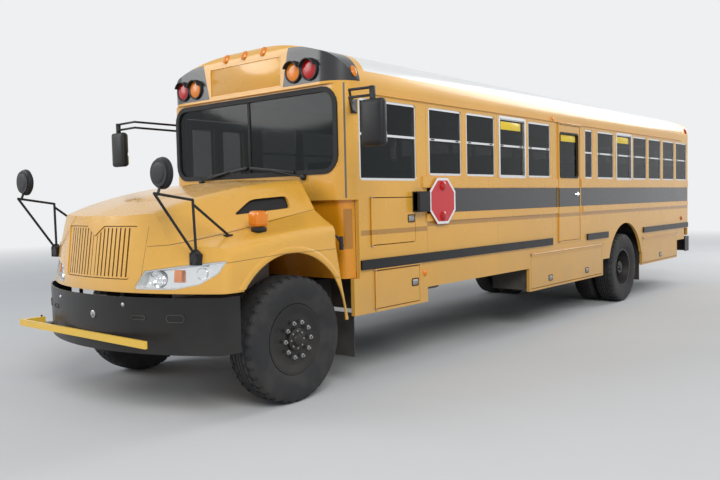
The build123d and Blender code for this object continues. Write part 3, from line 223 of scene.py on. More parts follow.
# %% Body paint
BUS_YELLOW = (0.78, 0.40, 0.052)
DUST = (0.33, 0.25, 0.16)
LINING = (0.52, 0.53, 0.50)
DARK_LINING = (0.10, 0.10, 0.10)


def dusty(paint, colour, most=0.34):
    """A colour greyed by road dust towards the ground, in soft patches."""
    x, y, z = paint.place()
    film = (1.0 - z.ramp(0.45, 1.25)) * paint.noise(3.1, 5.0) * most * 1.7
    return paint.mix(film.clamp(), colour, DUST)


def peel(paint, worn=0.2):
    """The sprayed coat: orange peel, and a duller gloss low down."""
    x, y, z = paint.place()
    rough = paint.noise(2.3, 4.0) * 0.14 + 0.2
    paint.set("Roughness", rough + (1.0 - z.ramp(0.45, 1.3)) * worn if worn else rough)
    paint.bump(paint.noise(140.0, 2.0), 0.0006, 0.25)


def enamel(name, colour, dust):
    """Gloss enamel with orange peel, faint unevenness and dust low down."""
    paint = Paint(name, colour, 0.3, Coat_Weight=0.45, Coat_Roughness=0.06)
    paint.set("Base Color", dusty(paint, paint.uneven(colour), dust))
    peel(paint)
    return paint


enamel("body_yellow", BUS_YELLOW, 0.34)
enamel("arm_yellow", (0.90, 0.55, 0.03), 0.15)
print("yellow finishes", len(FINISH))

# %% [markdown]
# The roof is white enamel above the gutter and yellow below it, and the front cap carries two black
# lamp panels that run round its corners. These are paint lines on one skin, so one material chooses
# between the colours by the place on the skin, with a comparison for each edge of the paint.

# %% Roof and cap paint, masked by place
ROOF_WHITE = (0.80, 0.80, 0.77)
PANEL_BLACK = (0.012, 0.012, 0.014)
PAINT_LINE = 2.755


def roof_enamel(name, end=None):
    """White over yellow, with black lamp panels at an end of the bus where asked."""
    paint = Paint(name, ROOF_WHITE, 0.35, Coat_Weight=0.35, Coat_Roughness=0.1)
    x, y, z = paint.place()
    across = abs(y)
    grime = paint.noise(1.4, 5.0, (0.35, 1.6, 1.6)).ramp(0.42, 0.75) * 0.3
    white = paint.mix(grime, ROOF_WHITE, (0.46, 0.45, 0.42))
    line = z > PAINT_LINE
    if end == "front":
        line = line * (x < SCREEN_X - 0.30)
        under_arc = z < 2.995 - (across - 0.55) * (across - 0.55) * 0.30
        panel = (across > (z - 2.64) * 0.23 + 0.515) * under_arc * (z > 2.652) * (x > SCREEN_X - 0.21)
    if end == "rear":
        line = line * (x > REAR_X + 0.26)
        panel = across.within(0.50, 1.02) * z.within(2.545, 2.72) * (x < REAR_X + 0.16)
    colour = paint.mix(line, paint.uneven(BUS_YELLOW), white)
    paint.set("Base Color", paint.mix(panel, colour, PANEL_BLACK) if end else colour)
    paint.set("Roughness", paint.noise(2.0, 4.0) * 0.15 + 0.24)
    paint.bump(paint.noise(120.0, 2.0), 0.0006, 0.25)


roof_enamel("roof_white")
roof_enamel("front_cap_paint", "front")
roof_enamel("rear_cap_paint", "rear")


def seamed_enamel(name, colour):
    """The nose's enamel, with the dark joint lines between its mouldings."""
    paint = enamel(name, colour, 0.3)
    x, y, z = paint.place()
    across = abs(y)
    ahead = x - AXLE
    split = (abs(z - 1.217 + (ahead - 0.18).ramp(0.0, 0.56) * 0.030) < 0.0024) * (across > 1.05) * (ahead < 0.74)
    crease = (abs(z - 1.476 + ahead * 0.168) < 0.0026) * across.within(0.60, 1.06) * (ahead < 1.02)
    upright = (abs(across - 0.565 - (z - 1.06) * 0.086) < 0.0022) * z.within(1.02, 1.46) * (ahead > 0.70)
    joint = (split + crease + upright).clamp()
    base = paint.shader.inputs["Base Color"].links[0].from_socket
    paint.set("Base Color", paint.mix(joint * 0.82, base, (0.10, 0.045, 0.006)))


seamed_enamel("nose_yellow", (0.79, 0.415, 0.058))
print("roof and nose paints done, finishes", len(FINISH))

# %% [markdown]
# Everything black on the bus is a different black: satin paint on the bumper and rails, grained plastic
# on the mirrors, matt rubber round the glass, dull wax on the chassis and grey road dust in the tyres.

# %% Black finishes
def satin(name, colour, roughness, grain=200.0, depth=0.0004, dust=0.3, **fixed):
    """A dark satin surface with fine grain and a film of dust low down."""
    paint = Paint(name, colour, roughness, Specular_IOR_Level=0.3, **fixed)
    x, y, z = paint.place()
    film = (1.0 - z.ramp(0.2, 1.1)) * paint.noise(4.0, 5.0) * dust * 1.5
    paint.set("Base Color", paint.mix(film.clamp(), colour, (0.23, 0.20, 0.165)))
    paint.set("Roughness", paint.noise(7.0, 4.0) * 0.2 + (roughness - 0.08) + (1.0 - z.ramp(0.2, 1.0)) * 0.1)
    paint.bump(paint.noise(grain, 2.0), depth, 0.4)


satin("black_paint", (0.008, 0.008, 0.009), 0.34, dust=0.14, Coat_Weight=0.1)
# Dark ochre for the walls of the grille's slots: painted shade between the bars.
satin("slot_painted_shade", (0.16, 0.072, 0.010), 0.6, dust=0.0)
satin("black_plastic", (0.014, 0.014, 0.015), 0.42, grain=420.0, depth=0.0005, dust=0.1)
satin("black_rubber", (0.018, 0.018, 0.019), 0.62, grain=260.0, dust=0.25)
satin("chassis_black", (0.022, 0.021, 0.020), 0.6, grain=60.0, depth=0.0012, dust=0.75)
satin("cabin_plastic", (0.075, 0.076, 0.078), 0.5, grain=300.0, dust=0.1)
TYRE_BLACK = (0.016, 0.016, 0.017)
rubber = Paint("tyre_rubber", TYRE_BLACK, 0.75)
settled = rubber.noise(5.0, 6.0).ramp(0.45, 0.8) * 0.35
rubber.set("Base Color", rubber.mix(settled, TYRE_BLACK, (0.10, 0.09, 0.075)))
rubber.set("Roughness", rubber.noise(9.0, 4.0) * 0.2 + 0.66)
rubber.bump(rubber.noise(320.0, 3.0), 0.0006, 0.5)
print("black finishes done, finishes", len(FINISH))

# %% [markdown]
# Bare metals are finishes of their own. Anodised sash frames are dull and slightly streaked along their
# length, chrome is nearly a mirror, and the exhaust is steel with rust blooming in patches.

# %% Metals
def metal(name, colour, roughness, streak=(1.0, 1.0, 1.0), spread=0.12, dirt=0.12):
    paint = Paint(name, colour, roughness, 1.0)
    marks = paint.noise(24.0, 4.0, streak)
    paint.set("Roughness", marks * spread + (roughness - spread / 2))
    paint.set("Base Color", paint.mix(paint.noise(5.0, 4.0).ramp(0.5, 0.8) * dirt, colour, (0.2, 0.19, 0.17)))
    paint.bump(marks, 0.0003, 0.2)


metal("aluminium", (0.72, 0.73, 0.74), 0.36, (0.15, 1.0, 6.0))
metal("chrome", (0.86, 0.87, 0.88), 0.09, spread=0.05, dirt=0.05)
metal("bare_steel", (0.42, 0.42, 0.43), 0.42, dirt=0.5)
metal("reflector", (0.90, 0.91, 0.92), 0.12, spread=0.04, dirt=0.02)
metal("mirror_glass", (0.80, 0.82, 0.84), 0.04, spread=0.02, dirt=0.03)
PIPE_STEEL = (0.30, 0.29, 0.28)
rust = Paint("exhaust_rust", PIPE_STEEL, 0.5, 0.8)
bloom = rust.noise(11.0, 6.0).ramp(0.42, 0.6)
rust.set("Base Color", rust.mix(bloom, PIPE_STEEL, (0.17, 0.075, 0.035)))
rust.set("Metallic", 0.85 - bloom * 0.8)
rust.set("Roughness", bloom * 0.4 + 0.4)
rust.bump(rust.noise(90.0, 4.0), 0.001, 0.5)
print("metals done, finishes", len(FINISH))

# %% [markdown]
# Tinted window glass is thin here: light passes straight through a film of smoky green. A Glass shader
# would bend and darken it, so the pane is a mostly clear surface whose alpha sets how much it hides.
# Lamp lenses are coloured, glossy and faintly lit from within.

# %% Glass and lenses
def pane(name, colour, cover):
    paint = Paint(name, colour, 0.04, Specular_IOR_Level=0.3, IOR=1.45)
    paint.set("Alpha", paint.noise(2.2, 5.0).ramp(0.4, 0.8) * 0.06 + cover)
    paint.set("Roughness", paint.noise(6.0, 3.0) * 0.05 + 0.04)


pane("window_glass", (0.004, 0.008, 0.009), 0.66)
pane("screen_glass", (0.008, 0.050, 0.044), 0.36)
pane("clear_lens", (0.62, 0.66, 0.68), 0.08)


def lens(name, colour, glow):
    """A moulded lamp lens, with fine flutes and a glossy face."""
    paint = Paint(name, colour, 0.16, Coat_Weight=0.3, Coat_Roughness=0.05, Specular_IOR_Level=0.4,
                  Emission_Color=colour, Emission_Strength=glow)
    x, y, z = paint.place()
    paint.set("Base Color", paint.mix(paint.noise(12.0, 3.0), colour, tuple(c * 0.72 for c in colour)))
    paint.set("Roughness", paint.noise(20.0, 2.0) * 0.06 + 0.1)
    paint.bump((y * 260.0).sine() * (z * 260.0).sine(), 0.0012, 0.45)


lens("lens_red", (0.50, 0.006, 0.008), 0.05)
lens("lens_amber", (0.86, 0.24, 0.006), 0.05)
lens("lens_white", (0.72, 0.72, 0.70), 0.03)
print("glass and lenses done, finishes", len(FINISH))

# %% [markdown]
# Reflective sheeting is a plastic film full of tiny glass cells, which shows as a fine grid. It makes
# the red stop plate with its white border, the yellow exit tags, and the white plate.

# %% Reflective sheeting
def sheeting(name, colour):
    paint = Paint(name, colour, 0.34, Coat_Weight=0.3, Coat_Roughness=0.15)
    grid = paint.cells(260.0)
    paint.set("Base Color", paint.mix(grid.ramp(0.2, 0.7) * 0.35, colour, tuple(min(1.0, c * 1.25) for c in colour)))
    paint.set("Roughness", grid * 0.2 + 0.28)
    paint.bump(grid, 0.0004, 0.2)


sheeting("plate_red", (0.55, 0.012, 0.018))
sheeting("plate_white", (0.78, 0.78, 0.76))
sheeting("tag_yellow", (0.90, 0.62, 0.02))
print("sheeting done, finishes", len(FINISH))

# %% [markdown]
# Inside, the benches wear dark green vinyl with a pebbled grain, and the floor is ribbed black rubber
# that shows worn aisles.

# %% Cabin finishes
def vinyl(name, colour):
    paint = Paint(name, colour, 0.45, Sheen_Weight=0.15)
    pebble = paint.cells(190.0)
    paint.set("Base Color", paint.mix(paint.noise(7.0, 5.0).ramp(0.35, 0.75), colour, tuple(c * 1.5 for c in colour)))
    paint.set("Roughness", pebble * 0.25 + 0.34)
    paint.bump(pebble, 0.0012, 0.5)


vinyl("seat_vinyl", (0.030, 0.042, 0.030))
vinyl("driver_cloth", (0.030, 0.030, 0.034))
MAT_BLACK = (0.035, 0.035, 0.036)
mat = Paint("floor_rubber", MAT_BLACK, 0.6)
worn = mat.noise(1.7, 5.0, (0.4, 2.0, 1.0)).ramp(0.4, 0.75)
mat.set("Base Color", mat.mix(worn * 0.6, MAT_BLACK, (0.10, 0.095, 0.085)))
mat.set("Roughness", worn * 0.2 + 0.5)
mat.bump((mat.place()[1] * 320.0).sine(), 0.002, 0.5)
print("finishes", len(FINISH))

# %% [markdown]
# The walls are one thick piece each, painted outside and panelled inside, so their finish changes where
# the skin's depth says it is the cabin's face. The side walls also carry the black band, a darker ochre
# band and the seams where their sheets lap. The front wall's face behind the nose is a deeper amber:
# painted shade.

# %% Two-faced wall paint
def wall_enamel(name, band=False, cowl=False):
    """Yellow outside and lined inside, with the side walls' band, or the front wall's cowl face in a deeper amber that
    is painted shade.
    """
    paint = Paint(name, BUS_YELLOW, 0.3, Coat_Weight=0.4, Coat_Roughness=0.07)
    colour = dusty(paint, paint.uneven(BUS_YELLOW))
    x, y, z = paint.place()
    masks = []
    if band:
        span = x.within(REAR_X + 0.09, AXLE - 0.770)
        masks.append((((x - BAY_START).wrap(2 * BAY_PITCH) < 0.0035) * z.within(1.02, 2.54) * 0.75, (0.16, 0.08, 0.01)))
        # A darker ochre band along the sides, set a little higher along the window bays than ahead of them.
        ochre_band = z.within(1.352, 1.398) * (x < BAY_START) + z.within(1.310, 1.356) * (x > BAY_START)
        masks.append((ochre_band * span, (0.44, 0.21, 0.03)))
        masks.append((z.within(1.481, 1.723) * x.within(REAR_X + 0.09, BAY_START), PANEL_BLACK))
    if cowl:
        # Painted shade: the cowl's face behind the nose is shaded to a deeper amber.
        face = (z < 1.628) * (x > SCREEN_X - 0.14)
        masks.append((face, (0.72, 0.27, 0.006)))
        masks.append(((abs(y) < HALF - 0.0835) * (x < SCREEN_X - 0.0835), DARK_LINING))
        masks.append(((abs(y) < HALF - 0.0385) * (x < SCREEN_X - 0.0385) * (z > 1.642), DARK_LINING))
        strip = (y > 1.0) * z.within(1.20, 1.55) * x.within(SCREEN_X - 0.125, SCREEN_X - 0.060)
        masks.append((strip * face, (0.42, 0.17, 0.01)))
    else:
        inside = (abs(y) < HALF - 0.0385) * x.within(REAR_X + 0.0385, SCREEN_X - 0.0385) * (z > 1.0)
        masks.append((inside, LINING))
    for mask, tint in masks:
        colour = paint.mix(mask, colour, tint)
    paint.set("Base Color", colour)
    peel(paint, 0.0 if cowl else 0.2)


wall_enamel("wall_yellow", band=True)
wall_enamel("wall_plain")
wall_enamel("cowl_paint_and_shade", cowl=True)
print("wall paints done, finishes", len(FINISH))

# %% [markdown]
# Every solid gets its finish here, also those that a modelled piece takes the place of later. The table
# is grouped by finish, and solids are shaded by going through each finish's list of names.

# %% Finish of each solid
SOLID_FINISH = {
    "roof_white": "roof", "front_cap_paint": "front_cap", "rear_cap_paint": "rear_cap", "cowl_paint_and_shade": "front_wall",
    "wall_yellow": "side_wall_left side_wall_right side_exit_door service_hatch",
    "wall_plain": "rear_wall rear_exit_door entry_leaf_front entry_leaf_rear",
    "body_yellow": "battery_door luggage_door tail_hold_door body_rails",
    "nose_yellow": "hood grille", "floor_rubber": "floor", "exhaust_rust": "exhaust", "aluminium": "window_sashes",
    "chassis_black": "floor_sills holds chassis_frame fuel_tank driveline front_axle leaf_springs knuckle_left "
                     "knuckle_right",
    "bare_steel": "engine door_hinges",
    "black_paint": "radiator front_bumper rear_bumper rub_rails rim_front_left rim_front_right rims_rear_left "
                   "rims_rear_right",
    "window_glass": "body_glass side_exit_glass rear_exit_glass", "screen_glass": "entry_glass_front entry_glass_rear",
    "black_plastic": "stop_arm_base body_lamps side_mirrors crossover_mirrors wipers",
    "plate_red": "stop_arm", "arm_yellow": "crossing_arm", "clear_lens": "nose_lamps", "black_rubber": "mud_flaps",
    "seat_vinyl": "seats", "cabin_plastic": "dashboard",
    "tyre_rubber": "tyre_front_left tyre_front_right tyres_rear_left tyres_rear_right",
}
for finish, names in SOLID_FINISH.items():
    for name in names.split():
        solid = nodes[name]
        if not solid.material_slots:
            solid.data.materials.append(None)
        for slot in solid.material_slots:
            slot.material = FINISH[finish].material
print("solids with a finish", sum(len(names.split()) for names in SOLID_FINISH.values()), "of", len(nodes))

# %% [markdown]
# New pieces are modelled as by hand: a primitive goes in at its place, is shaped in edit mode, and ends
# with its place in its mesh. An operator acts on whatever is selected, and the loaded solids start out
# selected, so each helper clears the selection first and then picks faces by their place or direction.

# %% Helpers for modelling
def leave():
    """Out of edit mode."""
    bpy.ops.object.mode_set(mode="OBJECT")


def edit():
    """Into edit mode, with everything selected."""
    bpy.ops.object.mode_set(mode="EDIT")
    bpy.ops.mesh.select_all(action="SELECT")


def clear():
    """Object mode, with nothing selected."""
    if bpy.context.object and bpy.context.object.mode != "OBJECT":
        leave()
    bpy.ops.object.select_all(action="DESELECT")


def choose(*pieces):
    """Selects these pieces alone, the last one active."""
    clear()
    for piece in pieces:
        piece.select_set(True)
        bpy.context.view_layer.objects.active = piece


def remove(piece):
    choose(piece)
    bpy.ops.object.delete()


def settle(piece):
    """Moves the piece's place into its mesh."""
    choose(piece)
    bpy.ops.object.transform_apply(location=True, rotation=True, scale=True)
    return piece


def pick(piece, test):
    """Edit mode, with the faces selected whose centre and normal pass the test."""
    choose(piece)
    bpy.ops.object.mode_set(mode="EDIT")
    bpy.ops.mesh.select_mode(type="FACE")
    bpy.ops.mesh.select_all(action="DESELECT")
    leave()
    for face in piece.data.polygons:
        face.select = bool(test(face.center, face.normal))
    bpy.ops.object.mode_set(mode="EDIT")


def pick_top(piece):
    pick(piece, lambda at, out: out.z > 0.9)


def closed(piece):
    """Merges doubles and turns all faces outwards."""
    choose(piece)
    edit()
    bpy.ops.mesh.remove_doubles(threshold=0.00002)
    bpy.ops.mesh.normals_make_consistent(inside=False)
    leave()
    return piece


def aim(piece, centre, facing):
    """Turns local Z to a direction, keeps local Y as near to up as it can be, and moves to a centre."""
    out = Vector(facing).normalized()
    up = Vector(UP) if abs(out.z) < 0.9 else Vector(AHEAD)
    along = up.cross(out).normalized()
    turn = Matrix((along, out.cross(along), out)).transposed()
    piece.matrix_world = Matrix.Translation(centre) @ turn.to_4x4()
    return settle(piece)

# %% [markdown]
# Flat-sided pieces start as a cube. It goes in at its size and place, and a bevel rounds all its edges,
# because a real edge is never sharp and a rounded one catches the light.

# %% Blocks with bevelled edges
def block(name, low, high, edge=0.0, segments=2):
    """A block between two corners, with its edges bevelled."""
    clear()
    bpy.ops.mesh.primitive_cube_add(size=1.0, location=[(a + b) / 2 for a, b in zip(low, high)])
    piece = bpy.context.object
    piece.name = name
    piece.scale = [abs(b - a) for a, b in zip(low, high)]
    settle(piece)
    if edge:
        edit()
        bpy.ops.mesh.bevel(offset=edge, segments=segments, affect="EDGES")
        leave()
    return piece

# %% [markdown]
# Round pieces are turned. A section is drawn point by point, as on paper, and spun round its axis, the
# way a lathe or a potter's wheel makes the real one. Then the piece is aimed the way that it faces.

# %% Turned pieces
def drawn(name, points):
    """A line drawn in edit mode: a plane is merged to one vertex, which is extruded from point to point."""
    clear()
    bpy.ops.mesh.primitive_plane_add(size=0.01)
    piece = bpy.context.object
    piece.name = name
    bpy.ops.object.mode_set(mode="EDIT")
    bpy.ops.mesh.select_mode(type="VERT")
    bpy.ops.mesh.select_all(action="SELECT")
    bpy.ops.mesh.merge(type="CENTER")
    bpy.ops.transform.translate(value=points[0])
    for here, there in zip(points, points[1:]):
        bpy.ops.mesh.extrude_vertices_move(TRANSFORM_OT_translate={"value": there - here})
    bpy.ops.mesh.select_all(action="SELECT")
    return piece


def turned(name, profile, centre=(0, 0, 0), facing=(0, 1, 0), steps=40):
    """A form turned on a lathe: a line through (height, radius) points is spun round its axis."""
    piece = drawn(name, [Vector((radius, 0, height)) for height, radius in profile])
    bpy.ops.mesh.spin(steps=steps, angle=2 * math.pi, center=(0, 0, 0), axis=UP)
    leave()
    closed(piece)
    return aim(piece, centre, facing)

# %% [markdown]
# Plates, tags and gaskets start as a plane. Bevelling its corners rounds them, insetting and deleting the
# middle leaves a frame, and extruding gives the thickness. A small inset on the face softens its edge.

# %% Plates and frames
def plate(name, centre, wide, high, thick, corner, facing, band=0.0, edge=0.0):
    """A plate with rounded corners that stands out from its centre, or a frame where band is given."""
    clear()
    bpy.ops.mesh.primitive_plane_add(size=1.0)
    piece = bpy.context.object
    piece.name = name
    piece.scale = (wide, high, 1)
    settle(piece)
    edit()
    if corner:
        bpy.ops.mesh.bevel(offset=corner, segments=5, affect="VERTICES")
        bpy.ops.mesh.select_all(action="SELECT")
    if band:
        bpy.ops.mesh.select_mode(type="FACE")
        bpy.ops.mesh.inset(thickness=band)
        bpy.ops.mesh.delete(type="FACE")
        bpy.ops.mesh.select_all(action="SELECT")
    bpy.ops.mesh.extrude_region_move(TRANSFORM_OT_translate={"value": (0, 0, thick)})
    leave()
    closed(piece)
    if edge:
        pick_top(piece)
        bpy.ops.mesh.inset(thickness=edge)
        bpy.ops.transform.translate(value=(0, 0, edge * 0.7))
        leave()
    return aim(piece, centre, facing)

# %% [markdown]
# Bars and tubes follow a line. A path curve with a round bevel gives the bar its thickness, and it is
# made a mesh at once, since only meshes are joined.

# %% Pipes
def pipe(name, points, radius, resolution=2):
    """A round bar along a few points."""
    clear()
    bpy.ops.curve.primitive_nurbs_path_add()
    piece = bpy.context.object
    piece.name = name
    line = piece.data
    line.splines.clear()
    spline = line.splines.new("POLY")
    spline.points.add(len(points) - 1)
    for point, place in zip(spline.points, points):
        point.co = (*place, 1.0)
    line.bevel_depth = radius
    line.bevel_resolution = resolution
    line.use_fill_caps = True
    bpy.ops.object.convert(target="MESH")
    return closed(bpy.context.object)

# %% [markdown]
# What repeats is modelled once and copied, each copy with its own mesh. At the end each piece is smoothed,
# gets its finish and is put on the body that carries it, so that it moves with the right door or wheel.

# %% Copies and dressing
def copy_of(piece, name, shift=(0, 0, 0), mirror=False):
    """A copy with its own mesh, moved, or mirrored to the other side of the bus."""
    choose(piece)
    bpy.ops.object.duplicate(linked=False)
    twin = bpy.context.object
    twin.name = name
    if mirror:
        twin.scale = (1, -1, 1)
        settle(twin)
        closed(twin)
    twin.location = shift
    return settle(twin)


def joined(name, pieces):
    """Several pieces of one finish as one."""
    choose(*pieces)
    bpy.ops.object.join()
    bpy.context.object.name = name
    return bpy.context.object


def row(name, piece, places):
    """Copies of one piece at several places, joined, with the first one used up."""
    copies = [copy_of(piece, f"{name}_{number}", place) for number, place in enumerate(places)]
    remove(piece)
    return joined(name, copies)


def dress(piece, finish, body="body", smooth=35.0, instead_of=()):
    """Shades a piece, gives it its finish, and puts it on the body that carries it."""
    settle(piece)
    bpy.ops.object.shade_smooth_by_angle(angle=math.radians(smooth))
    piece.data.materials.clear()
    piece.data.materials.append(FINISH[finish].material)
    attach(piece, body)
    if instead_of:
        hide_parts(*instead_of)
    return piece


# %% [markdown]
# A truck tyre is a turned form: rounded shoulders, side walls that bulge a little and tuck in to the rim,
# and a tread of ribs. Its section is spun once round the axle. The tread's cross grooves are pressed into
# every third stretch of the ribs, and the shoulders get deeper notches. One tyre is made and copied.

# %% Tyres
RIM_R = 0.286
TREAD_STEPS = 108
half_section = [
    (0.102, RIM_R), (0.112, RIM_R + 0.004), (0.122, RIM_R + 0.030), (0.1335, RIM_R + 0.085), (0.1385, 0.425),
    (0.1365, 0.462), (0.1285, 0.490), (0.1140, 0.5065), (0.0800, 0.5120), (0.0790, 0.5010), (0.0700, 0.5010),
    (0.0690, 0.5130), (0.0380, 0.5145), (0.0370, 0.5010), (0.0280, 0.5010), (0.0270, 0.5148), (0.0050, 0.5150),
    (0.0040, 0.5020),
]
section = [(-height, radius) for height, radius in half_section] + list(reversed(half_section))
tyre = turned("tyre", section + [section[0]], steps=TREAD_STEPS)


def tread_step(at):
    """Which of three a stretch of the tread is, counted round the tyre."""
    return int(round((math.atan2(at.z, at.x) / (2 * math.pi) + 1) * TREAD_STEPS - 0.5)) % 3


pick(tyre, lambda at, out: 0.083 < abs(at.y) < 0.126 and math.hypot(at.x, at.z) > 0.496 and tread_step(at) == 0)
bpy.ops.mesh.extrude_region_shrink_fatten(TRANSFORM_OT_shrink_fatten={"value": -0.008})
pick(tyre, lambda at, out: 0.040 < abs(at.y) < 0.066 and math.hypot(at.x, at.z) > 0.510 and tread_step(at) == 1)
bpy.ops.mesh.extrude_region_shrink_fatten(TRANSFORM_OT_shrink_fatten={"value": -0.006})
leave()
closed(tyre)
FRONT_WHEEL_Y = HALF - 0.177
DUAL_OUTER_Y = HALF - 0.169
DUAL_INNER_Y = DUAL_OUTER_Y - 0.330
for side, hand in SIDES:
    front = copy_of(tyre, f"tread_front_{hand}", (AXLE, side * FRONT_WHEEL_Y, TYRE_R))
    dress(front, "tyre_rubber", f"wheel_front_{hand}", 40, (f"tyre_front_{hand}",))
    pair = [copy_of(tyre, f"twin_{place}", (REAR_AXLE, side * y, TYRE_R)) for place, y in
            (("outer", DUAL_OUTER_Y), ("inner", DUAL_INNER_Y))]
    dress(joined(f"treads_rear_{hand}", pair), "tyre_rubber", f"wheels_rear_{hand}", 40, (f"tyres_rear_{hand}",))
remove(tyre)
print("tyre faces", len(front.data.polygons))

# %% [markdown]
# The disc wheels are painted black. What shows against them are the ten nuts on their studs, the hub's
# flange with its own ring of small bolts, and the hub's cap. One nut is a six-sided cylinder whose top
# is inset and raised, with a stud pushed out of its middle, and the rings are turned copies of it.

# %% Wheel nuts and hubs
def nut(name, across, high, stud):
    """A six-sided nut facing up, with a chamfered top and its stud."""
    clear()
    bpy.ops.mesh.primitive_cylinder_add(vertices=6, radius=across, depth=high, location=(0, 0, high / 2))
    piece = bpy.context.object
    piece.name = name
    settle(piece)
    pick_top(piece)
    bpy.ops.mesh.inset(thickness=across * 0.14)
    bpy.ops.transform.translate(value=(0, 0, across * 0.08))
    bpy.ops.mesh.inset(thickness=across * 0.30)
    bpy.ops.mesh.extrude_region_move(TRANSFORM_OT_translate={"value": (0, 0, stud)})
    leave()
    return piece


def ring_of(name, piece, count, radius, centre, facing, start=0.0):
    """Copies of an upright piece set round a circle, facing out along a direction."""
    places = [(radius * math.cos(start + turn * 2 * math.pi / count),
               radius * math.sin(start + turn * 2 * math.pi / count), 0) for turn in range(count)]
    return aim(row(name, piece, places), centre, facing)


# Wheel body: (wheel x, face of the bolting boss, end of the hub, which way it faces)
HUB = {
    "wheel_front_left": (AXLE, FRONT_WHEEL_Y + 0.122, FRONT_WHEEL_Y + 0.123, 1),
    "wheel_front_right": (AXLE, -FRONT_WHEEL_Y - 0.122, -FRONT_WHEEL_Y - 0.123, -1),
    "wheels_rear_left": (REAR_AXLE, DUAL_OUTER_Y - 0.135, DUAL_OUTER_Y + 0.060, 1),
    "wheels_rear_right": (REAR_AXLE, -DUAL_OUTER_Y + 0.135, -DUAL_OUTER_Y - 0.060, -1),
}
for wheel, (x, face, end, way) in HUB.items():
    facing = (0, way, 0)
    nuts = ring_of("nuts", nut("nut", 0.0190, 0.024, 0.016), 10, 0.1425, (x, face, TYRE_R), facing)
    small = ring_of("flange_bolts", nut("bolt", 0.0085, 0.009, 0.002), 8, 0.070,
                    (x, end + way * 0.006, TYRE_R), facing)
    dress(joined(f"wheel_nuts_{wheel[5:]}", [nuts, small]), "bare_steel", wheel, 30)
    cap = [(0.0, 0.090), (0.006, 0.090), (0.0085, 0.086), (0.0085, 0.052), (0.020, 0.048), (0.030, 0.040),
           (0.034, 0.026), (0.034, 0.0)]
    hub = turned(f"hub_cap_{wheel[5:]}", cap, (x, end, TYRE_R), facing, 32)
    dress(hub, "black_paint", wheel, 35)
print("nut rings", len(HUB))


# %% [markdown]
# The nose is one moulding: bonnet and fenders flow into each other over soft creases. Each cross-section
# is a path with rounded corners, drawn by extruding a point. Five of them stand along the nose, the loops
# between them are bridged, and the ends are filled. What bounds the nose is cut from it with solids.

# %% Paths and solids for the nose
def softened(corners, steps=5):
    """A closed path whose corners, given as (u, v, radius), are rounded."""
    path = []
    for number, (u, v, radius) in enumerate(corners):
        at = Vector((u, v))
        one = Vector(corners[number - 1][:2]) - at
        two = Vector(corners[(number + 1) % len(corners)][:2]) - at
        if not radius:
            path.append(at)
            continue
        reach = min(radius / math.tan(one.angle(two) / 2), one.length * 0.48, two.length * 0.48)
        start, end = at + one.normalized() * reach, at + two.normalized() * reach
        for step in range(steps + 1):
            t = step / steps
            path.append(start * (1 - t) ** 2 + at * 2 * t * (1 - t) + end * t * t)
    return path


def loop(name, points):
    """A closed line through points in space."""
    piece = drawn(name, points)
    bpy.ops.mesh.remove_doubles(threshold=0.00001)
    bpy.ops.mesh.select_mode(type="VERT")
    bpy.ops.mesh.select_all(action="DESELECT")
    leave()
    for end in (0, len(piece.data.vertices) - 1):
        piece.data.vertices[end].select = True
    bpy.ops.object.mode_set(mode="EDIT")
    bpy.ops.mesh.edge_face_add()
    leave()
    return piece

# %% [markdown]
# A loft bridges closed loops that stand one behind the other, with a filled loop at each end. A prism is
# a loft between two equal loops. A boolean with such a solid cuts an opening or keeps what both share.

# %% Lofted solids and cuts
def lofted(name, loops, cuts=0):
    """A solid bridged between closed loops that stand one behind the other."""
    ends = [copy_of(loops[0], "cap_a"), copy_of(loops[-1], "cap_b")]
    for cap in ends:
        choose(cap)
        edit()
        bpy.ops.mesh.edge_face_add()
        leave()
    skin = joined("skin", loops)
    bpy.ops.object.mode_set(mode="EDIT")
    bpy.ops.mesh.select_mode(type="EDGE")
    bpy.ops.mesh.select_all(action="SELECT")
    bpy.ops.mesh.bridge_edge_loops(number_cuts=cuts, interpolation="SURFACE" if cuts else "LINEAR")
    leave()
    piece = joined(name, [skin, *ends])
    return closed(piece)


def prism(name, path, axis, low, high):
    """A solid between two planes: the path is (y, z) along x, or (x, z) along y."""
    def spot(point, depth):
        return Vector((depth, point[0], point[1])) if axis == "x" else Vector((point[0], depth, point[1]))
    ends = [loop("end", [spot(point, depth) for point in path]) for depth in (low, high)]
    return lofted(name, ends)


def cut(piece, tool, operation="DIFFERENCE"):
    """Cuts a piece with a solid, or keeps what both share, and uses the solid up."""
    choose(piece)
    bpy.ops.object.modifier_add(type="BOOLEAN")
    change = piece.modifiers[-1]
    change.operation = operation
    change.solver = "EXACT"
    change.object = tool
    bpy.ops.object.modifier_apply(modifier=change.name)
    remove(tool)
    return piece


# %% [markdown]
# The cross-sections are given as the heights of the fender, its crease, the bonnet's shoulder and its
# ridge. The solid between them is trimmed to the curved outline seen from above, then to the outline seen
# from the side, and a second solid, smaller by the skin, is taken out of it.

# %% Nose solids
FENDER = HALF - 0.014
SKIN = 0.014
NOSE_LOW = 0.965
FACE_R = 2.130
# Columns: ahead of the axle, fender top, crease (y, z), bonnet shoulder (y, z), ridge
NOSE_SECTIONS = (
    (1.200, 1.185, FENDER - 0.505, 1.225, FENDER - 0.605, 1.455, 1.475),
    (0.800, 1.275, FENDER - 0.385, 1.345, FENDER - 0.540, 1.605, 1.630),
    (0.350, 1.350, FENDER - 0.305, 1.430, FENDER - 0.485, 1.715, 1.745),
    (-0.100, 1.390, FENDER - 0.260, 1.490, FENDER - 0.440, 1.785, 1.812),
    (-0.640, 1.400, FENDER - 0.205, 1.560, FENDER - 0.385, 1.825, 1.845),
)


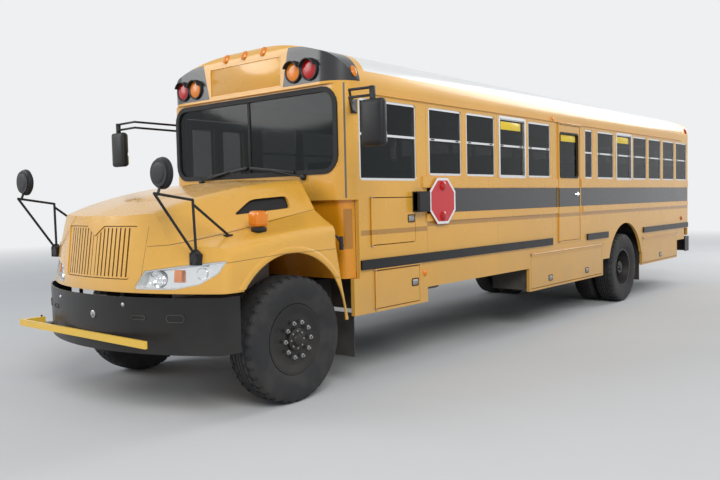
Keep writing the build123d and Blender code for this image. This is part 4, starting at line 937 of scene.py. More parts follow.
def nose_form(inset):
    """Bonnet and fenders as a solid, inside the skin by the inset."""
    loops = []
    for ahead, fender, crease_y, crease, shoulder_y, shoulder, ridge in NOSE_SECTIONS:
        right = [(FENDER - inset, 0.500, 0), (FENDER - inset, fender - inset, 0.110 - inset),
                 (crease_y - inset, crease - inset, 0.060 + inset),
                 (shoulder_y - inset, shoulder - inset, 0.120 - inset)]
        left = [(-y, z, radius) for y, z, radius in reversed(right)]
        path = softened(right + [(0, ridge - inset, 0.30)] + left)
        loops.append(loop("section", [Vector((AXLE + ahead, y, z)) for y, z in path]))
    form = lofted("nose_form", loops, 3)
    plans = []
    for z in (0.480, 1.950):
        centre = AXLE + 1.115 + 0.145 * (NOSE_LOW - z) - inset - FACE_R
        half = FENDER - inset
        edge = centre + math.sqrt(FACE_R**2 - half**2)
        across = [half - 2 * half * step / 24 for step in range(1, 24)]
        arc = [(centre + math.sqrt(FACE_R**2 - y**2), y, 0) for y in across]
        path = softened([(AXLE - 0.900, half, 0), (edge, half, 0.090 - inset), *arc, (edge, -half, 0.090 - inset),
                         (AXLE - 0.900, -half, 0)])
        plans.append(loop("plan", [Vector((x, y, z)) for x, y in path]))
    return cut(form, lofted("plan_solid", plans), "INTERSECT")


SIDE_FORM = [(AXLE - 0.450, 1.940, 0), (AXLE - 0.450, 1.250, 0.05), (AXLE - 0.505, 0.970, 0.05),
             (AXLE - 0.595, 0.600, 0), (AXLE + 0.065, 0.600, 0), (AXLE + 0.065, NOSE_LOW, 0),
             (AXLE + 1.118, NOSE_LOW, 0),
             (AXLE + 1.024, 1.580, 0.075), (AXLE + 0.300, 1.850, 0), (AXLE + 0.200, 1.940, 0)]
nose = nose_form(0.0)
cut(nose, prism("side_form", softened(SIDE_FORM), "y", -1.4, 1.4), "INTERSECT")
cut(nose, nose_form(SKIN))
print("nose shell faces", len(nose.data.polygons), "size", [round(v, 3) for v in nose.dimensions])


# %% [markdown]
# The openings come next: round wheel arches, the notched grille, the teardrop lamps and the air intakes in
# the flanks. Each is drawn once as a rounded outline. What fills an opening is a thin layer of the same
# form inside the same outline, so that it follows the shell's curve.

# %% Outlines of the openings
def grille_path(inset):
    top = 1.465 - inset
    return [(-0.490 + inset, top, 0), (-0.120, top, 0), (0, 1.390 - inset, 0), (0.120, top, 0),
            (0.490 - inset, top, 0), (0.455 - inset, 1.060 + inset, 0.040), (-0.455 + inset, 1.060 + inset, 0.040)]


def lamp_path(side, inset):
    path = [(0.500 + inset, 0.990 + inset, 0.022), (0.590 + inset * 0.6, 1.130 - inset, 0.022),
            (0.900, 1.172 - inset, 0), (1.192 - inset * 1.6, 1.204 - inset, 0.010),
            (1.150 - inset, 1.112 + inset * 0.4, 0.080),
            (1.030 - inset * 0.6, 1.032 + inset, 0.100), (0.850, 0.994 + inset, 0.100)]
    return [(side * y, z, radius) for y, z, radius in path]


def intake_path(grow):
    return [(AXLE + 0.345 + grow * 2, 1.525 - grow, 0.012), (AXLE + 0.130, 1.648 + grow, 0.240),
            (AXLE - 0.235 - grow, 1.672 + grow, 0.036), (AXLE - 0.215 - grow, 1.570 - grow, 0.036)]


def layers(outer, inner, paths, axis, spans, name):
    """The parts of the nose's shell between two depths that lie inside some outlines."""
    shell = cut(nose_form(outer), nose_form(inner))
    parts = []
    for number, (path, span) in enumerate(zip(paths, spans)):
        part = copy_of(shell, f"{name}_{number}")
        parts.append(cut(part, prism("outline", softened(path), axis, *span), "INTERSECT"))
    remove(shell)
    return parts

# %% [markdown]
# Each opening is cut through the shell along the way that it is seen: the grille and lamps from the front,
# the arches and intakes from the side. The flares are turned rings, cut off level above the bumper.

# %% Cut the openings and add the flares
FRONT_SPAN = (AXLE + 0.640, AXLE + 1.300)
ARCH = (AXLE + 0.065, 0.590)
clear()
bpy.ops.mesh.primitive_cylinder_add(vertices=96, radius=0.630, depth=2.9, location=(ARCH[0], 0, ARCH[1]),
                                    rotation=(math.pi / 2, 0, 0))
cut(nose, settle(bpy.context.object))
cut(nose, prism("opening", softened(grille_path(0.0)), "x", *FRONT_SPAN))
for side in (1, -1):
    cut(nose, prism("opening", softened(lamp_path(side, 0.0)), "x", *FRONT_SPAN))
    cut(nose, prism("opening", softened(intake_path(0.0)), "y", *sorted((side * 0.700, side * 1.100))))
nose.name = "nose_shell"
dress(closed(nose), "nose_yellow", "nose", 28, ("hood",))
flares = []
for side in (1, -1):
    ring = [(-0.006, 0.6285), (0.006, 0.6285), (0.010, 0.634), (0.010, 0.668), (0.004, 0.682), (-0.006, 0.684)]
    flare = turned("flare", ring + [ring[0]], (ARCH[0], side * FENDER, ARCH[1]), (0, side, 0), 96)
    flares.append(cut(flare, block("low", (AXLE - 1.0, side * 1.0, -0.3), (AXLE + 1.0, side * 1.4, 0.980))))
dress(joined("arch_flares", flares), "nose_yellow", "nose", 40)
print("nose faces after the openings", len(nose.data.polygons))

# %% [markdown]
# The grille is a panel of the same curved shell, set back a little, with slots between broad upright bars
# and a wider rib in the middle. The lamp lenses are a clear layer of the shell, and behind each stands a
# bright backing and a rim, which shows as the white border round the lamp.

# %% Grille, lamp lenses and housings
grille_panel, = layers(0.008, 0.034, [grille_path(0.006)], "x", [FRONT_SPAN], "grille_panel")
BAR_PITCH, BAR_HALF, RIB_HALF, SLOT_TOP = 0.048, 0.0165, 0.023, 1.448
for bar in range(-9, 9):
    low = bar * BAR_PITCH + (RIB_HALF if bar == 0 else BAR_HALF)
    high = (bar + 1) * BAR_PITCH - (RIB_HALF if bar == -1 else BAR_HALF)
    slot = block("slot", (FRONT_SPAN[0], low, 1.078), (FRONT_SPAN[1], high, SLOT_TOP))
    pick_top(slot)
    bpy.ops.mesh.select_mode(type="VERT")
    leave()
    for corner in slot.data.vertices:
        if corner.select:
            corner.co.z = min(SLOT_TOP, 1.372 + abs(corner.co.y) / 0.120 * 0.075)
    cut(grille_panel, slot)
dress(grille_panel, "nose_yellow", "nose", 30, ("grille",))
# The slot walls get the dark ochre finish: painted shade between the bars.
pick(grille_panel, lambda at, out: abs(out.y) > 0.7 and abs(at.y) < 0.43)
bpy.ops.object.material_slot_add()
grille_panel.active_material = FINISH["slot_painted_shade"].material
bpy.ops.object.material_slot_assign()
leave()
print("slot wall faces", sum(face.material_index for face in grille_panel.data.polygons))
screen, = layers(0.036, 0.040, [grille_path(-0.004)], "x", [FRONT_SPAN], "grille_screen")
dress(screen, "black_plastic", "nose", 30)
BOTH, ENDS, FLANKS = (1, -1), [FRONT_SPAN] * 2, [(0.700, 1.100), (-1.100, -0.700)]
lenses = layers(0.001, 0.005, [lamp_path(side, 0.002) for side in BOTH], "x", ENDS, "lens")
rims = layers(0.006, 0.060, [lamp_path(side, 0.001) for side in BOTH], "x", ENDS, "rim")
for side, rim in zip(BOTH, rims):
    cut(rim, prism("middle", softened(lamp_path(side, 0.011)), "x", *FRONT_SPAN))
backings = layers(0.060, 0.066, [lamp_path(side, 0.0) for side in BOTH], "x", ENDS, "backing")
dress(joined("headlamp_lenses", lenses), "clear_lens", "nose", 30, ("nose_lamps",))
dress(joined("headlamp_borders", rims), "lens_white", "nose", 30)
dress(joined("headlamp_housings", backings), "reflector", "nose", 30)
liners = layers(0.022, 0.028, [intake_path(0.012)] * 2, "y", FLANKS, "liner")
dress(joined("intake_liners", liners), "black_rubber", "nose", 30)
print("grille faces", len(grille_panel.data.polygons))


# %% [markdown]
# The front cap carries the blank sign panel and its frame. Each end of the bus has five clearance lamps:
# three above the middle and one at each corner, amber in front and red behind. A lamp is a turned dome
# squeezed along one side, and a line from outside finds the curved cap that it sits on.

# %% Sign panel and clearance lamps
sign = plate("sign_panel", (CAP_X - 0.0100, 0, 2.8025), 0.984, 0.259, 0.004, 0.012, AHEAD, edge=0.002)
dress(sign, "body_yellow")
dress(plate("sign_frame", (CAP_X - 0.0100, 0, 2.8025), 0.9999, 0.2749, 0.011, 0.014, AHEAD, band=0.008),
      "body_yellow")


def marker(name, places, finish, facing=AHEAD, size=0.052):
    """Low oval lamps: a lens dome squeezed along one side, on a thin foot."""
    dome = turned("dome", [(0.0, size), (0.004, size), (0.006, size * 0.92), (0.014, size * 0.84),
                           (0.022, size * 0.55), (0.025, 0.0)], steps=24, facing=UP)
    dome.scale = (0.62, 1.0, 1.0)
    settle(dome)
    lamps = []
    for number, place in enumerate(places):
        lamp = copy_of(dome, f"{name}_{number}")
        lamps.append(aim(lamp, place[:3], place[3] if len(place) > 3 else facing))
    remove(dome)
    return dress(joined(name, lamps), finish)


def seat(node, start, way):
    """Where a line from outside meets a solid, and the way its surface faces there."""
    met, at, out, face = nodes[node].ray_cast(Vector(start), Vector(way))
    assert met, (node, start)
    return (*at, out)


CROWN_Z, CORNER_Z = 3.012, 2.735
for end, node, x, way, corner, finish in (("front", "front_cap", 6, -1, SCREEN_X - 0.150, "lens_amber"),
                                          ("rear", "rear_cap", -8, 1, REAR_X + 0.165, "lens_red")):
    spots = [seat(node, (x, y, CROWN_Z), (way, 0, 0)) for y in (-0.262, 0, 0.262)]
    spots += [seat(node, (corner, side * 2, CORNER_Z), (0, -side, 0)) for side in (1, -1)]
    marker(f"clearance_lamps_{end}", spots, finish)
print("sign and clearance lamps done")

# %% [markdown]
# Four warning lamps stand at each end, red outside and amber inside. Each is a shallow round lens, turned
# as a dome, in a black bezel turned as a stepped ring. The faces of the ring's upper part are pushed
# forward to make the small hood.

# %% Warning lamps in their bezels
bezels = []


def warning_lamp(name, place, way, finish):
    """A lens in its hooded bezel, facing ahead or astern."""
    lens_form = [(0.0, 0.082), (0.006, 0.080), (0.013, 0.066), (0.018, 0.040), (0.020, 0.0)]
    dress(turned(f"{name}_lens", lens_form, place, (way, 0, 0), 36), finish)
    bezel = [(-0.012, 0.0815), (0.008, 0.0815), (0.014, 0.086), (0.014, 0.094), (0.006, 0.099), (-0.012, 0.099)]
    ring = turned(f"{name}_bezel", bezel + [bezel[0]], place, (way, 0, 0), 36)
    pick(ring, lambda at, out: out.x * way > 0.85 and at.z > place[2] + 0.035)
    bpy.ops.mesh.extrude_region_move(TRANSFORM_OT_translate={"value": (way * 0.035, 0, 0)})
    leave()
    bezels.append(closed(ring))


for end, x, z, way, spots in (("front", CAP_X + 0.008, 2.770, 1, (-0.922, -0.725, 0.665, 0.862)),
                              ("rear", REAR_X - 0.008, 2.625, -1, (-0.860, -0.660, 0.660, 0.860))):
    for y, colour in zip(spots, ("red", "amber", "amber", "red")):
        tag = f"{end}_warning_{'left' if y > 0 else 'right'}_{colour}"
        warning_lamp(tag, (x, y, z), way, f"lens_{colour}")
dress(joined("lamp_bezels", bezels), "black_plastic", instead_of=("body_lamps",))
print("warning lamps", len(bezels))

# %% [markdown]
# A column of three round lamps stands on each side of the tail: clear for reversing, amber for turning
# and red for stopping. Each is a turned dome that is flat in the middle and steep at its rim.

# %% Tail lamps
for side, hand in SIDES:
    for z, radius, finish, what in ((1.180, 0.054, "lens_white", "reversing"), (1.330, 0.078, "lens_amber", "turn"),
                                    (1.530, 0.078, "lens_red", "stop")):
        dome = [(0.0, radius), (0.010, radius * 0.985), (0.018, radius * 0.90), (0.022, radius * 0.6), (0.023, 0.0)]
        dress(turned(f"{what}_lamp_{hand}", dome, (REAR_X - 0.018, side * 0.860, z), ASTERN, 32), finish)

# %% [markdown]
# The windscreen and the windows at the back are held in black rubber. A gasket is a flat frame with
# rounded corners: a plane whose corners are bevelled, inset by the gasket's width, opened and thickened.

# %% Rubber gaskets
SIDE_EXIT = back(5.015)
screen_at = (SCREEN_X - 0.014, 0, 2.235)
dress(plate("windscreen_gasket", screen_at, 2.256, 0.758, 0.022, 0.158, AHEAD, band=0.044), "black_rubber")
dress(plate("windscreen_divider", screen_at, 0.030, 0.700, 0.012, 0.004, AHEAD, edge=0.003), "black_rubber")
rear_rings = [plate("ring", (REAR_X - 0.003, side * 0.830, 2.145), 0.478, 0.608, 0.012, 0.048, ASTERN, band=0.024)
              for side in (1, -1)]
dress(joined("rear_window_gaskets", rear_rings), "black_rubber")
door_rings = [plate("ring", (REAR_X - 0.003, 0, z), 0.758, high, 0.012, 0.048, ASTERN, band=0.024)
              for z, high in ((1.455, 0.428), (2.145, 0.608))]
dress(joined("rear_door_gaskets", door_rings), "black_rubber", "rear_exit")
ring = plate("side_exit_gasket", (SIDE_EXIT, HALF - 0.004, 2.144), 0.566, 0.588, 0.012, 0.048, (0, 1, 0), band=0.024)
dress(ring, "black_rubber", "side_exit")
for leaf, middle in (("entry_front", back(0.980)), ("entry_rear", back(1.400))):
    rings = [plate("ring", (middle, -HALF + 0.004, z), 0.314, high, 0.010, 0.048, (0, -1, 0), band=0.022)
             for z, high in ((0.970, 0.914), (1.970, 0.954))]
    dress(joined(f"{leaf}_gaskets", rings), "black_rubber", leaf)
print("rubber gaskets done")

# %% [markdown]
# The wipers park low across the screen. Each has a cast pivot, a bent arm and a thin blade that
# leans on the glass, so the arm is a thin pipe with one bend, and the blade is a long block.

# %% Wipers
wiper_parts = []
for y, reach in ((-0.720, 0.56), (0.720, -0.56)):
    wiper_parts.append(turned("pivot", [(-0.02, 0.030), (0.0, 0.030), (0.012, 0.022), (0.016, 0.0)],
                              (SCREEN_X + 0.022, y, 1.840), AHEAD, 20))
    wiper_parts.append(pipe("arm", [(SCREEN_X + 0.030, y, 1.842), (SCREEN_X + 0.036, y + reach * 0.25, 1.868),
                                    (SCREEN_X + 0.026, y + reach * 0.80, 1.925)], 0.0075))
    blade = block("blade", (-0.30, -0.006, -0.013), (0.30, 0.006, 0.013), 0.003)
    tilt = -0.11 if reach > 0 else 0.11
    wiper_parts.append(aim(blade, (SCREEN_X + 0.018, y + reach * 0.72, 1.918), (0.0, tilt, 1)))
dress(joined("wiper_set", wiper_parts), "black_plastic", instead_of=("wipers",))
print("wiper parts", len(wiper_parts))

# %% [markdown]
# Behind each lens stand two turned bowls with their bulbs, one large and one small, with an amber block
# between them. A bowl's profile is a line of points along its axis, and its bulb is turned in the same way.

# %% Headlamp insides
bowls = []
for side in (1, -1):
    for y, z, x, radius in ((0.68, 1.068, 0.960, 0.058), (1.000, 1.108, 0.790, 0.040)):
        bowl = [(-0.040, 0.012), (-0.030, radius * 0.55), (-0.012, radius * 0.85), (0.0, radius),
                (0.004, radius + 0.004), (-0.006, radius + 0.005)]
        bowls.append(turned("bowl", bowl, (AXLE + x, side * y, z), (0.92, side * 0.38, 0.05), 28))
        bulb = [(-0.034, 0.012), (-0.012, 0.012), (-0.004, 0.008), (0.0, 0.0)]
        bowls.append(turned("bulb", bulb, (AXLE + x, side * y, z), (0.92, side * 0.38, 0.05), 16))
dress(joined("headlamp_bowls", bowls), "chrome", "nose")
blocks = []
for side in (1, -1):
    piece = block("amber", (-0.030, -0.046, -0.008), (0.030, 0.046, 0.008), 0.005)
    blocks.append(aim(piece, (AXLE + 0.893, side * 0.850, 1.092), (0.88, side * 0.40, 0.14)))
dress(joined("headlamp_ambers", blocks), "lens_amber", "nose")
print("headlamp bowls and bulbs", len(bowls))

# %% [markdown]
# The turn lamps on the fenders are rounded amber boxes on black feet. A block is bevelled, its front and
# back are inset and pushed out as lenses, and two smaller blocks make the foot and its stem.

# %% Fender turn lamps
pods, feet = [], []
for side in (1, -1):
    pod = block("pod", (AXLE + 0.222, side * 1.006, 1.433), (AXLE + 0.348, side * 1.124, 1.558), 0.030, 4)
    pick(pod, lambda at, out: abs(out.x) > 0.9)
    bpy.ops.mesh.inset(thickness=0.008)
    bpy.ops.mesh.extrude_region_shrink_fatten(TRANSFORM_OT_shrink_fatten={"value": 0.004})
    leave()
    pods.append(pod)
    feet.append(block("foot", (AXLE + 0.235, side * 1.030, 1.395), (AXLE + 0.335, side * 1.110, 1.432), 0.008))
    feet.append(block("stem", (AXLE + 0.258, side * 1.048, 1.330), (AXLE + 0.312, side * 1.097, 1.398), 0.006))
dress(joined("fender_turn_lamps", pods), "lens_amber", "nose")
dress(joined("fender_lamp_feet", feet), "black_plastic", "nose")
print("turn lamps", len(pods))

# %% [markdown]
# The round crossover mirrors are deep convex bowls: a domed black back and a bright domed face set into
# it. Both are turned. The side mirrors keep the arms of their solid. Each head is a rounded block that
# tapers forward, with a flat pane and a second, smaller pane on the side that faces the driver.

# %% Mirrors
arms = closed(copy_of(nodes["side_mirrors"], "mirror_arms"))
pick(arms, lambda at, out: 2.035 < at.z < 2.405 and abs(at.y) > HALF + 0.42)
bpy.ops.mesh.delete(type="FACE")
leave()
heads = [arms]
for side, hand in SIDES:
    at = (AXLE + 1.110, side * 1.0, 1.840)
    shell = [(0.030, 0.0), (0.034, 0.050), (0.028, 0.086), (0.012, 0.108), (-0.008, 0.114), (-0.018, 0.112),
             (-0.018, 0.104)]
    dress(turned(f"crossover_shell_{hand}", shell, at, AHEAD, 40), "black_plastic", "nose")
    face = [(-0.014, 0.106), (-0.026, 0.092), (-0.036, 0.060), (-0.041, 0.0)]
    dress(turned(f"crossover_glass_{hand}", face, at, AHEAD, 40), "mirror_glass", "nose")
    low, high = (back(0.347), side * (HALF + 0.430), 2.038), (back(0.268), side * (HALF + 0.652), 2.402)
    head = block("head", low, high, 0.030, 4)
    pick(head, lambda at, out: out.x > 0.9)
    bpy.ops.transform.resize(value=(1, 0.80, 0.88))
    leave()
    heads.append(head)
    mirror_x = back(0.347) - 0.001
    panes = [plate("pane", (mirror_x, side * (HALF + 0.541), 2.285), 0.184, 0.208, 0.004, 0.018, ASTERN, edge=0.003),
             plate("pane", (mirror_x, side * (HALF + 0.541), 2.108), 0.184, 0.110, 0.006, 0.022, ASTERN, edge=0.004)]
    dress(joined(f"side_mirror_glass_{hand}", panes), "mirror_glass")
dress(joined("side_mirror_heads", heads), "black_plastic", instead_of=("side_mirrors",))
print("front pieces done")

# %% [markdown]
# Small fittings of the nose and the bumper: the rubber straps that hold the tilting nose, the bumper's
# four round-headed bolts, the rims of its four tow openings, and a fitting near its middle.

# %% Nose and bumper fittings
straps = []
for side in (1, -1):
    top = (AXLE - 0.405, side * 1.168, 1.372)
    straps.append(pipe("strap", [top, (AXLE - 0.470, side * 1.208, 1.315), (AXLE - 0.545, side * 1.205, 1.235)], 0.011))
    button = [(0.0, 0.026), (0.010, 0.026), (0.018, 0.018), (0.020, 0.0)]
    straps.append(turned("button", button, top, (0, side, 0.4), 20))
    grip = block("grip", (-0.018, -0.058, -0.012), (0.018, 0.058, 0.012), 0.006)
    straps.append(aim(grip, (AXLE - 0.515, side * 1.212, 1.262), (0, side, 0)))
dress(joined("nose_straps", straps), "black_rubber", "nose")


def on_bumper(y):
    """Where the bumper's curved face stands at a distance from the middle, and the way it faces."""
    deep = math.sqrt(FACE_R**2 - y**2)
    return AXLE + 1.165 - (FACE_R - deep), (deep, y, 0)


bolts = []
for y in (-0.46, 0.46):
    x, out = on_bumper(y)
    for z in (0.610, 0.880):
        bolts.append(turned("bolt", [(0.0, 0.016), (0.004, 0.015), (0.009, 0.008), (0.010, 0.0)], (x, y, z), out, 16))
dress(joined("bumper_bolts", bolts), "bare_steel")
openings = []
for y, wide, high in ((-0.60, 0.130, 0.036), (0.60, 0.130, 0.036), (-0.90, 0.150, 0.060), (0.90, 0.150, 0.060)):
    x, out = on_bumper(y)
    openings.append(plate("slot", (x + 0.0006, y, 0.790), wide, high, 0.004, high * 0.48, out, band=0.007))
dress(joined("tow_opening_rims", openings), "chassis_black")
x, out = on_bumper(0.12)
fitting = [(0.0, 0.030), (0.006, 0.030), (0.010, 0.024), (0.010, 0.014), (0.018, 0.012), (0.020, 0.0)]
dress(turned("bumper_fitting", fitting, (x, 0.12, 0.790), out, 24), "bare_steel")
print("nose and bumper fittings done")

# %% [markdown]
# The crossover mirrors stand on cast black feet screwed to the fenders. A foot is a flat plate with a
# roof-shaped top: a five-sided outline, drawn once, made solid and laid on the nose's surface.

# %% Mirror feet
FOOT = [(-0.043, -0.052, 0), (0.043, -0.052, 0), (0.043, 0.034, 0), (0, 0.062, 0), (-0.043, 0.034, 0)]
feet = []
for side in (1, -1):
    foot = prism("foot", softened(FOOT), "x", -0.010, 0.036)
    foot.location = (AXLE + 0.838, side * 1.008, 1.228)
    settle(foot)
    feet.append(foot)
    for y, z in ((-0.028, -0.036), (0.028, -0.036), (-0.028, 0.026), (0.028, 0.026)):
        feet.append(turned("screw", [(0.0, 0.008), (0.004, 0.008), (0.006, 0.005), (0.006, 0.0)],
                           (AXLE + 0.874, side * 1.008 + y, 1.228 + z), AHEAD, 12))
dress(joined("mirror_feet", feet), "black_plastic", "nose")
print("mirror foot parts", len(feet))

# %% [markdown]
# The stop arm is an eight-sided red plate with a white border on both faces, and two red lamps on each.
# A face is two thin eight-sided sheets, a white one and a smaller red one over it, so that each has one
# finish. The sheet's face is inset and raised by a hair. The arm's case is a bevelled block.

# %% Stop plate
STOP = (back(2.000), HALF + 0.035, 1.598)
STOP_R = 0.2285 / math.cos(math.pi / 8)
for side, place in ((1, "outer"), (-1, "inner")):
    y = STOP[1] + side * 0.0030
    for what, radius, thick, finish in (("border", STOP_R * 0.995, 0.0010, "plate_white"),
                                        ("field", STOP_R * 0.885, 0.0018, "plate_red")):
        clear()
        bpy.ops.mesh.primitive_cylinder_add(vertices=8, radius=radius, depth=thick, location=(0, 0, thick / 2),
                                            rotation=(0, 0, math.pi / 8))
        sheet = bpy.context.object
        sheet.name = f"stop_{what}_{place}"
        settle(sheet)
        pick_top(sheet)
        bpy.ops.mesh.inset(thickness=0.002)
        bpy.ops.mesh.extrude_region_move(TRANSFORM_OT_translate={"value": (0, 0, 0.0003)})
        leave()
        dress(aim(sheet, (STOP[0], y, STOP[2]), (0, side, 0)), finish, "stop_arm", 20)
    domes = [turned("dome", [(0.0, 0.044), (0.006, 0.043), (0.014, 0.034), (0.018, 0.018), (0.019, 0.0)],
                    (STOP[0], STOP[1] + side * 0.012, STOP[2] + lift), (0, side, 0), 28) for lift in (-0.150, 0.150)]
    dress(joined(f"stop_lamps_{place}", domes), "lens_red", "stop_arm")
case = block("stop_case", (back(1.733), HALF, 1.498), (back(1.540), HALF + 0.072, 1.694), 0.014, 3)
pick(case, lambda at, out: out.y > 0.9)
bpy.ops.mesh.inset(thickness=0.014)
bpy.ops.mesh.extrude_region_shrink_fatten(TRANSFORM_OT_shrink_fatten={"value": -0.004})
leave()
dress(case, "black_plastic")
print("stop arm done")

# %% [markdown]
# Two windows on each side and the one in the side exit are ways out. They have wider bright frames and a
# blank yellow tag at the top. The sashes of all the windows have small latches at the ends of the bar.

# %% Exit windows, tags and sash latches
def window_middle(index):
    return BAY_START - (index + 0.5) * BAY_PITCH


exits = [(side, window_middle(index)) for side in (1, -1) for index in ((2, 7) if side > 0 else (3, 9))]
frames, tags = [], []
for side, x in exits:
    frames.append(plate("exit", (x, side * (HALF - 0.001), 2.181), BAY_PITCH - PILLAR + 0.036, 0.698, 0.010, 0.022,
                        (0, side, 0), band=0.030))
    tags.append(plate("tag", (x, side * (HALF - 0.0185), 2.428), 0.46, 0.090, 0.003, 0.006, (0, side, 0),
                      edge=0.001))
dress(joined("exit_window_frames", frames), "aluminium")
dress(joined("exit_tags", tags), "tag_yellow")
dress(plate("side_exit_tag", (SIDE_EXIT, HALF - 0.0155, 2.365), 0.44, 0.085, 0.003, 0.006, (0, 1, 0), edge=0.001),
      "tag_yellow", "side_exit")
dress(plate("rear_exit_tag", (REAR_X + 0.0155, 0, 2.365), 0.52, 0.085, 0.003, 0.006, ASTERN, edge=0.001),
      "tag_yellow", "rear_exit")
latch = block("latch", (-0.028, -0.007, -0.008), (0.028, 0.007, 0.008), 0.003)
pick(latch, lambda at, out: out.y > 0.9)
bpy.ops.mesh.inset(thickness=0.003)
bpy.ops.mesh.extrude_region_move(TRANSFORM_OT_translate={"value": (0, 0.005, 0)})
leave()
openings = {1: (0, 1, 2, 3, 6, 7, 8, 9, 10, 11), -1: range(12)}
places = [(window_middle(index) + shift, side * (HALF - 0.012), 2.202)
          for side, indices in openings.items() for index in indices for shift in (-0.22, 0.22)]
dress(row("sash_latches", latch, places), "black_plastic")
print("exit windows", len(exits), "latches", len(places))

# %% [markdown]
# The exit doors stand in thin frames, like the gaskets but larger. Drip mouldings run over the doors, and
# a rubber seal closes the gap between the leaves of the entry. They are thin bevelled blocks.

# %% Door frames, drip mouldings and the entry's seal
surround = plate("side_exit_surround", (SIDE_EXIT, HALF - 0.0005, 1.785), 0.700, 1.530, 0.006, 0.010, (0, 1, 0),
                 band=0.018)
dress(surround, "body_yellow")
dress(plate("rear_exit_surround", (REAR_X, 0, 1.785), 1.010, 1.530, 0.008, 0.012, ASTERN, band=0.016),
      "black_rubber")
lips = [block("lip", (back(5.390), HALF, 2.546), (back(4.640), HALF + 0.022, 2.556), 0.003),
        block("lip", (back(1.650), -HALF - 0.026, 2.548), (back(0.730), -HALF, 2.560), 0.003),
        block("lip", (back(1.650), HALF, 0.996), (back(0.930), HALF + 0.016, 1.006), 0.003),
        block("lip", (back(6.100), HALF, 0.934), (back(3.910), HALF + 0.012, 0.942), 0.003),
        block("lip", (back(9.410), HALF, 0.934), (back(7.710), HALF + 0.012, 0.942), 0.003)]
dress(joined("drip_mouldings", lips), "body_yellow")
leaf_gap = back(1.190)
seal = block("entry_seal", (leaf_gap - 0.0075, -HALF + 0.002, 0.410), (leaf_gap + 0.0075, -HALF + 0.034, 2.520), 0.004)
dress(seal, "black_rubber", "entry_front")
print("drip mouldings", len(lips))

# %% [markdown]
# Latches and handles are what a hand finds on the doors. The flush latch is a dark rim with a bright
# paddle in it: a frame, and a smaller plate inside. The exit doors have lever handles on round roses.

# %% Latches and handles
def paddle(name, place, facing, body):
    """A flush latch: its rim and the paddle in it."""
    wide, high = 0.110, 0.075
    cup = plate(f"{name}_cup", place, wide, high, 0.004, 0.012, facing, band=0.010)
    lift = Vector(place) + Vector(facing) * 0.0005
    lever = plate(f"{name}_paddle", lift, wide - 0.028, high - 0.030, 0.005, 0.008, facing, edge=0.003)
    dress(cup, "black_plastic", body)
    dress(lever, "bare_steel", body)


for name, distance, z, door in (("battery_latch", 1.560, 0.830, "battery_door"),
                                ("hatch_latch", 1.515, 1.440, "service_hatch"),
                                ("luggage_latch_front", 4.450, 0.600, "luggage_door"),
                                ("luggage_latch_rear", 5.560, 0.600, "luggage_door"),
                                ("tail_latch", 8.560, 0.610, "tail_hold_door")):
    paddle(name, (back(distance), HALF - 0.0005, z), (0, 1, 0), door)


def lever_handle(name, place, facing, along, body):
    """A lever on a round rose."""
    out = Vector(facing)
    profile = [(0.0, 0.030), (0.006, 0.029), (0.010, 0.020), (0.022, 0.014), (0.024, 0.0)]
    rose = turned("rose", profile, place, facing, 24)
    start = Vector(place) + out * 0.020
    arm = pipe("lever", [start, start + Vector(along) * 0.040 + out * 0.006, start + Vector(along) * 0.135], 0.0085)
    dress(joined(name, [rose, arm]), "chrome", body)


lever_handle("side_exit_handle", (back(5.275), HALF, 1.640), (0, 1, 0), AHEAD, "side_exit")
lever_handle("rear_exit_handle", (REAR_X, 0.405, 1.170), ASTERN, (0, -1, 0), "rear_exit")
bends = ((0.0, -0.30), (0.040, -0.30), (0.040, 0.10), (0.0, 0.10))
pull = pipe("rear_exit_pull", [(REAR_X - out, y, 1.10) for out, y in bends], 0.008)
dress(pull, "chrome", "rear_exit")
print("latches and handles done")

# %% [markdown]
# Lamps and reflectors along the sides are small domes: amber at the front, red at the back. The licence
# plate at the rear is blank, on a black holder. Both are thin plates with rounded corners.

# %% Side markers, reflectors and the rear plate
for name, finish, distance, out, z, lean in (("side_reflectors_front", "lens_amber", 1.716, 0.0, 0.905, 0),
                                             ("side_reflectors_rear", "lens_red", 9.650, 0.0, 1.180, 0),
                                             ("side_markers_middle", "lens_amber", 4.520, 0.001, 2.578, 0.1)):
    spots = [(back(distance), side * (HALF + out), z, (0, side, lean)) for side in (1, -1)]
    marker(name, spots, finish, size=0.036)
plate_x = REAR_X - 0.001
dress(plate("licence_holder", (plate_x, -0.860, 0.985), 0.345, 0.190, 0.006, 0.010, ASTERN, edge=0.003),
      "black_plastic")
dress(plate("licence_plate", (plate_x - 0.008, -0.860, 0.985), 0.305, 0.152, 0.002, 0.010, ASTERN, edge=0.001),
      "plate_white")
print("side and rear fittings done")

# %% [markdown]
# The rails that run along the body are pressed steel held by rows of round rivets. Rivets repeat hundreds
# of times, so each is a cap of a few faces, and an array modifier copies it along the rails.

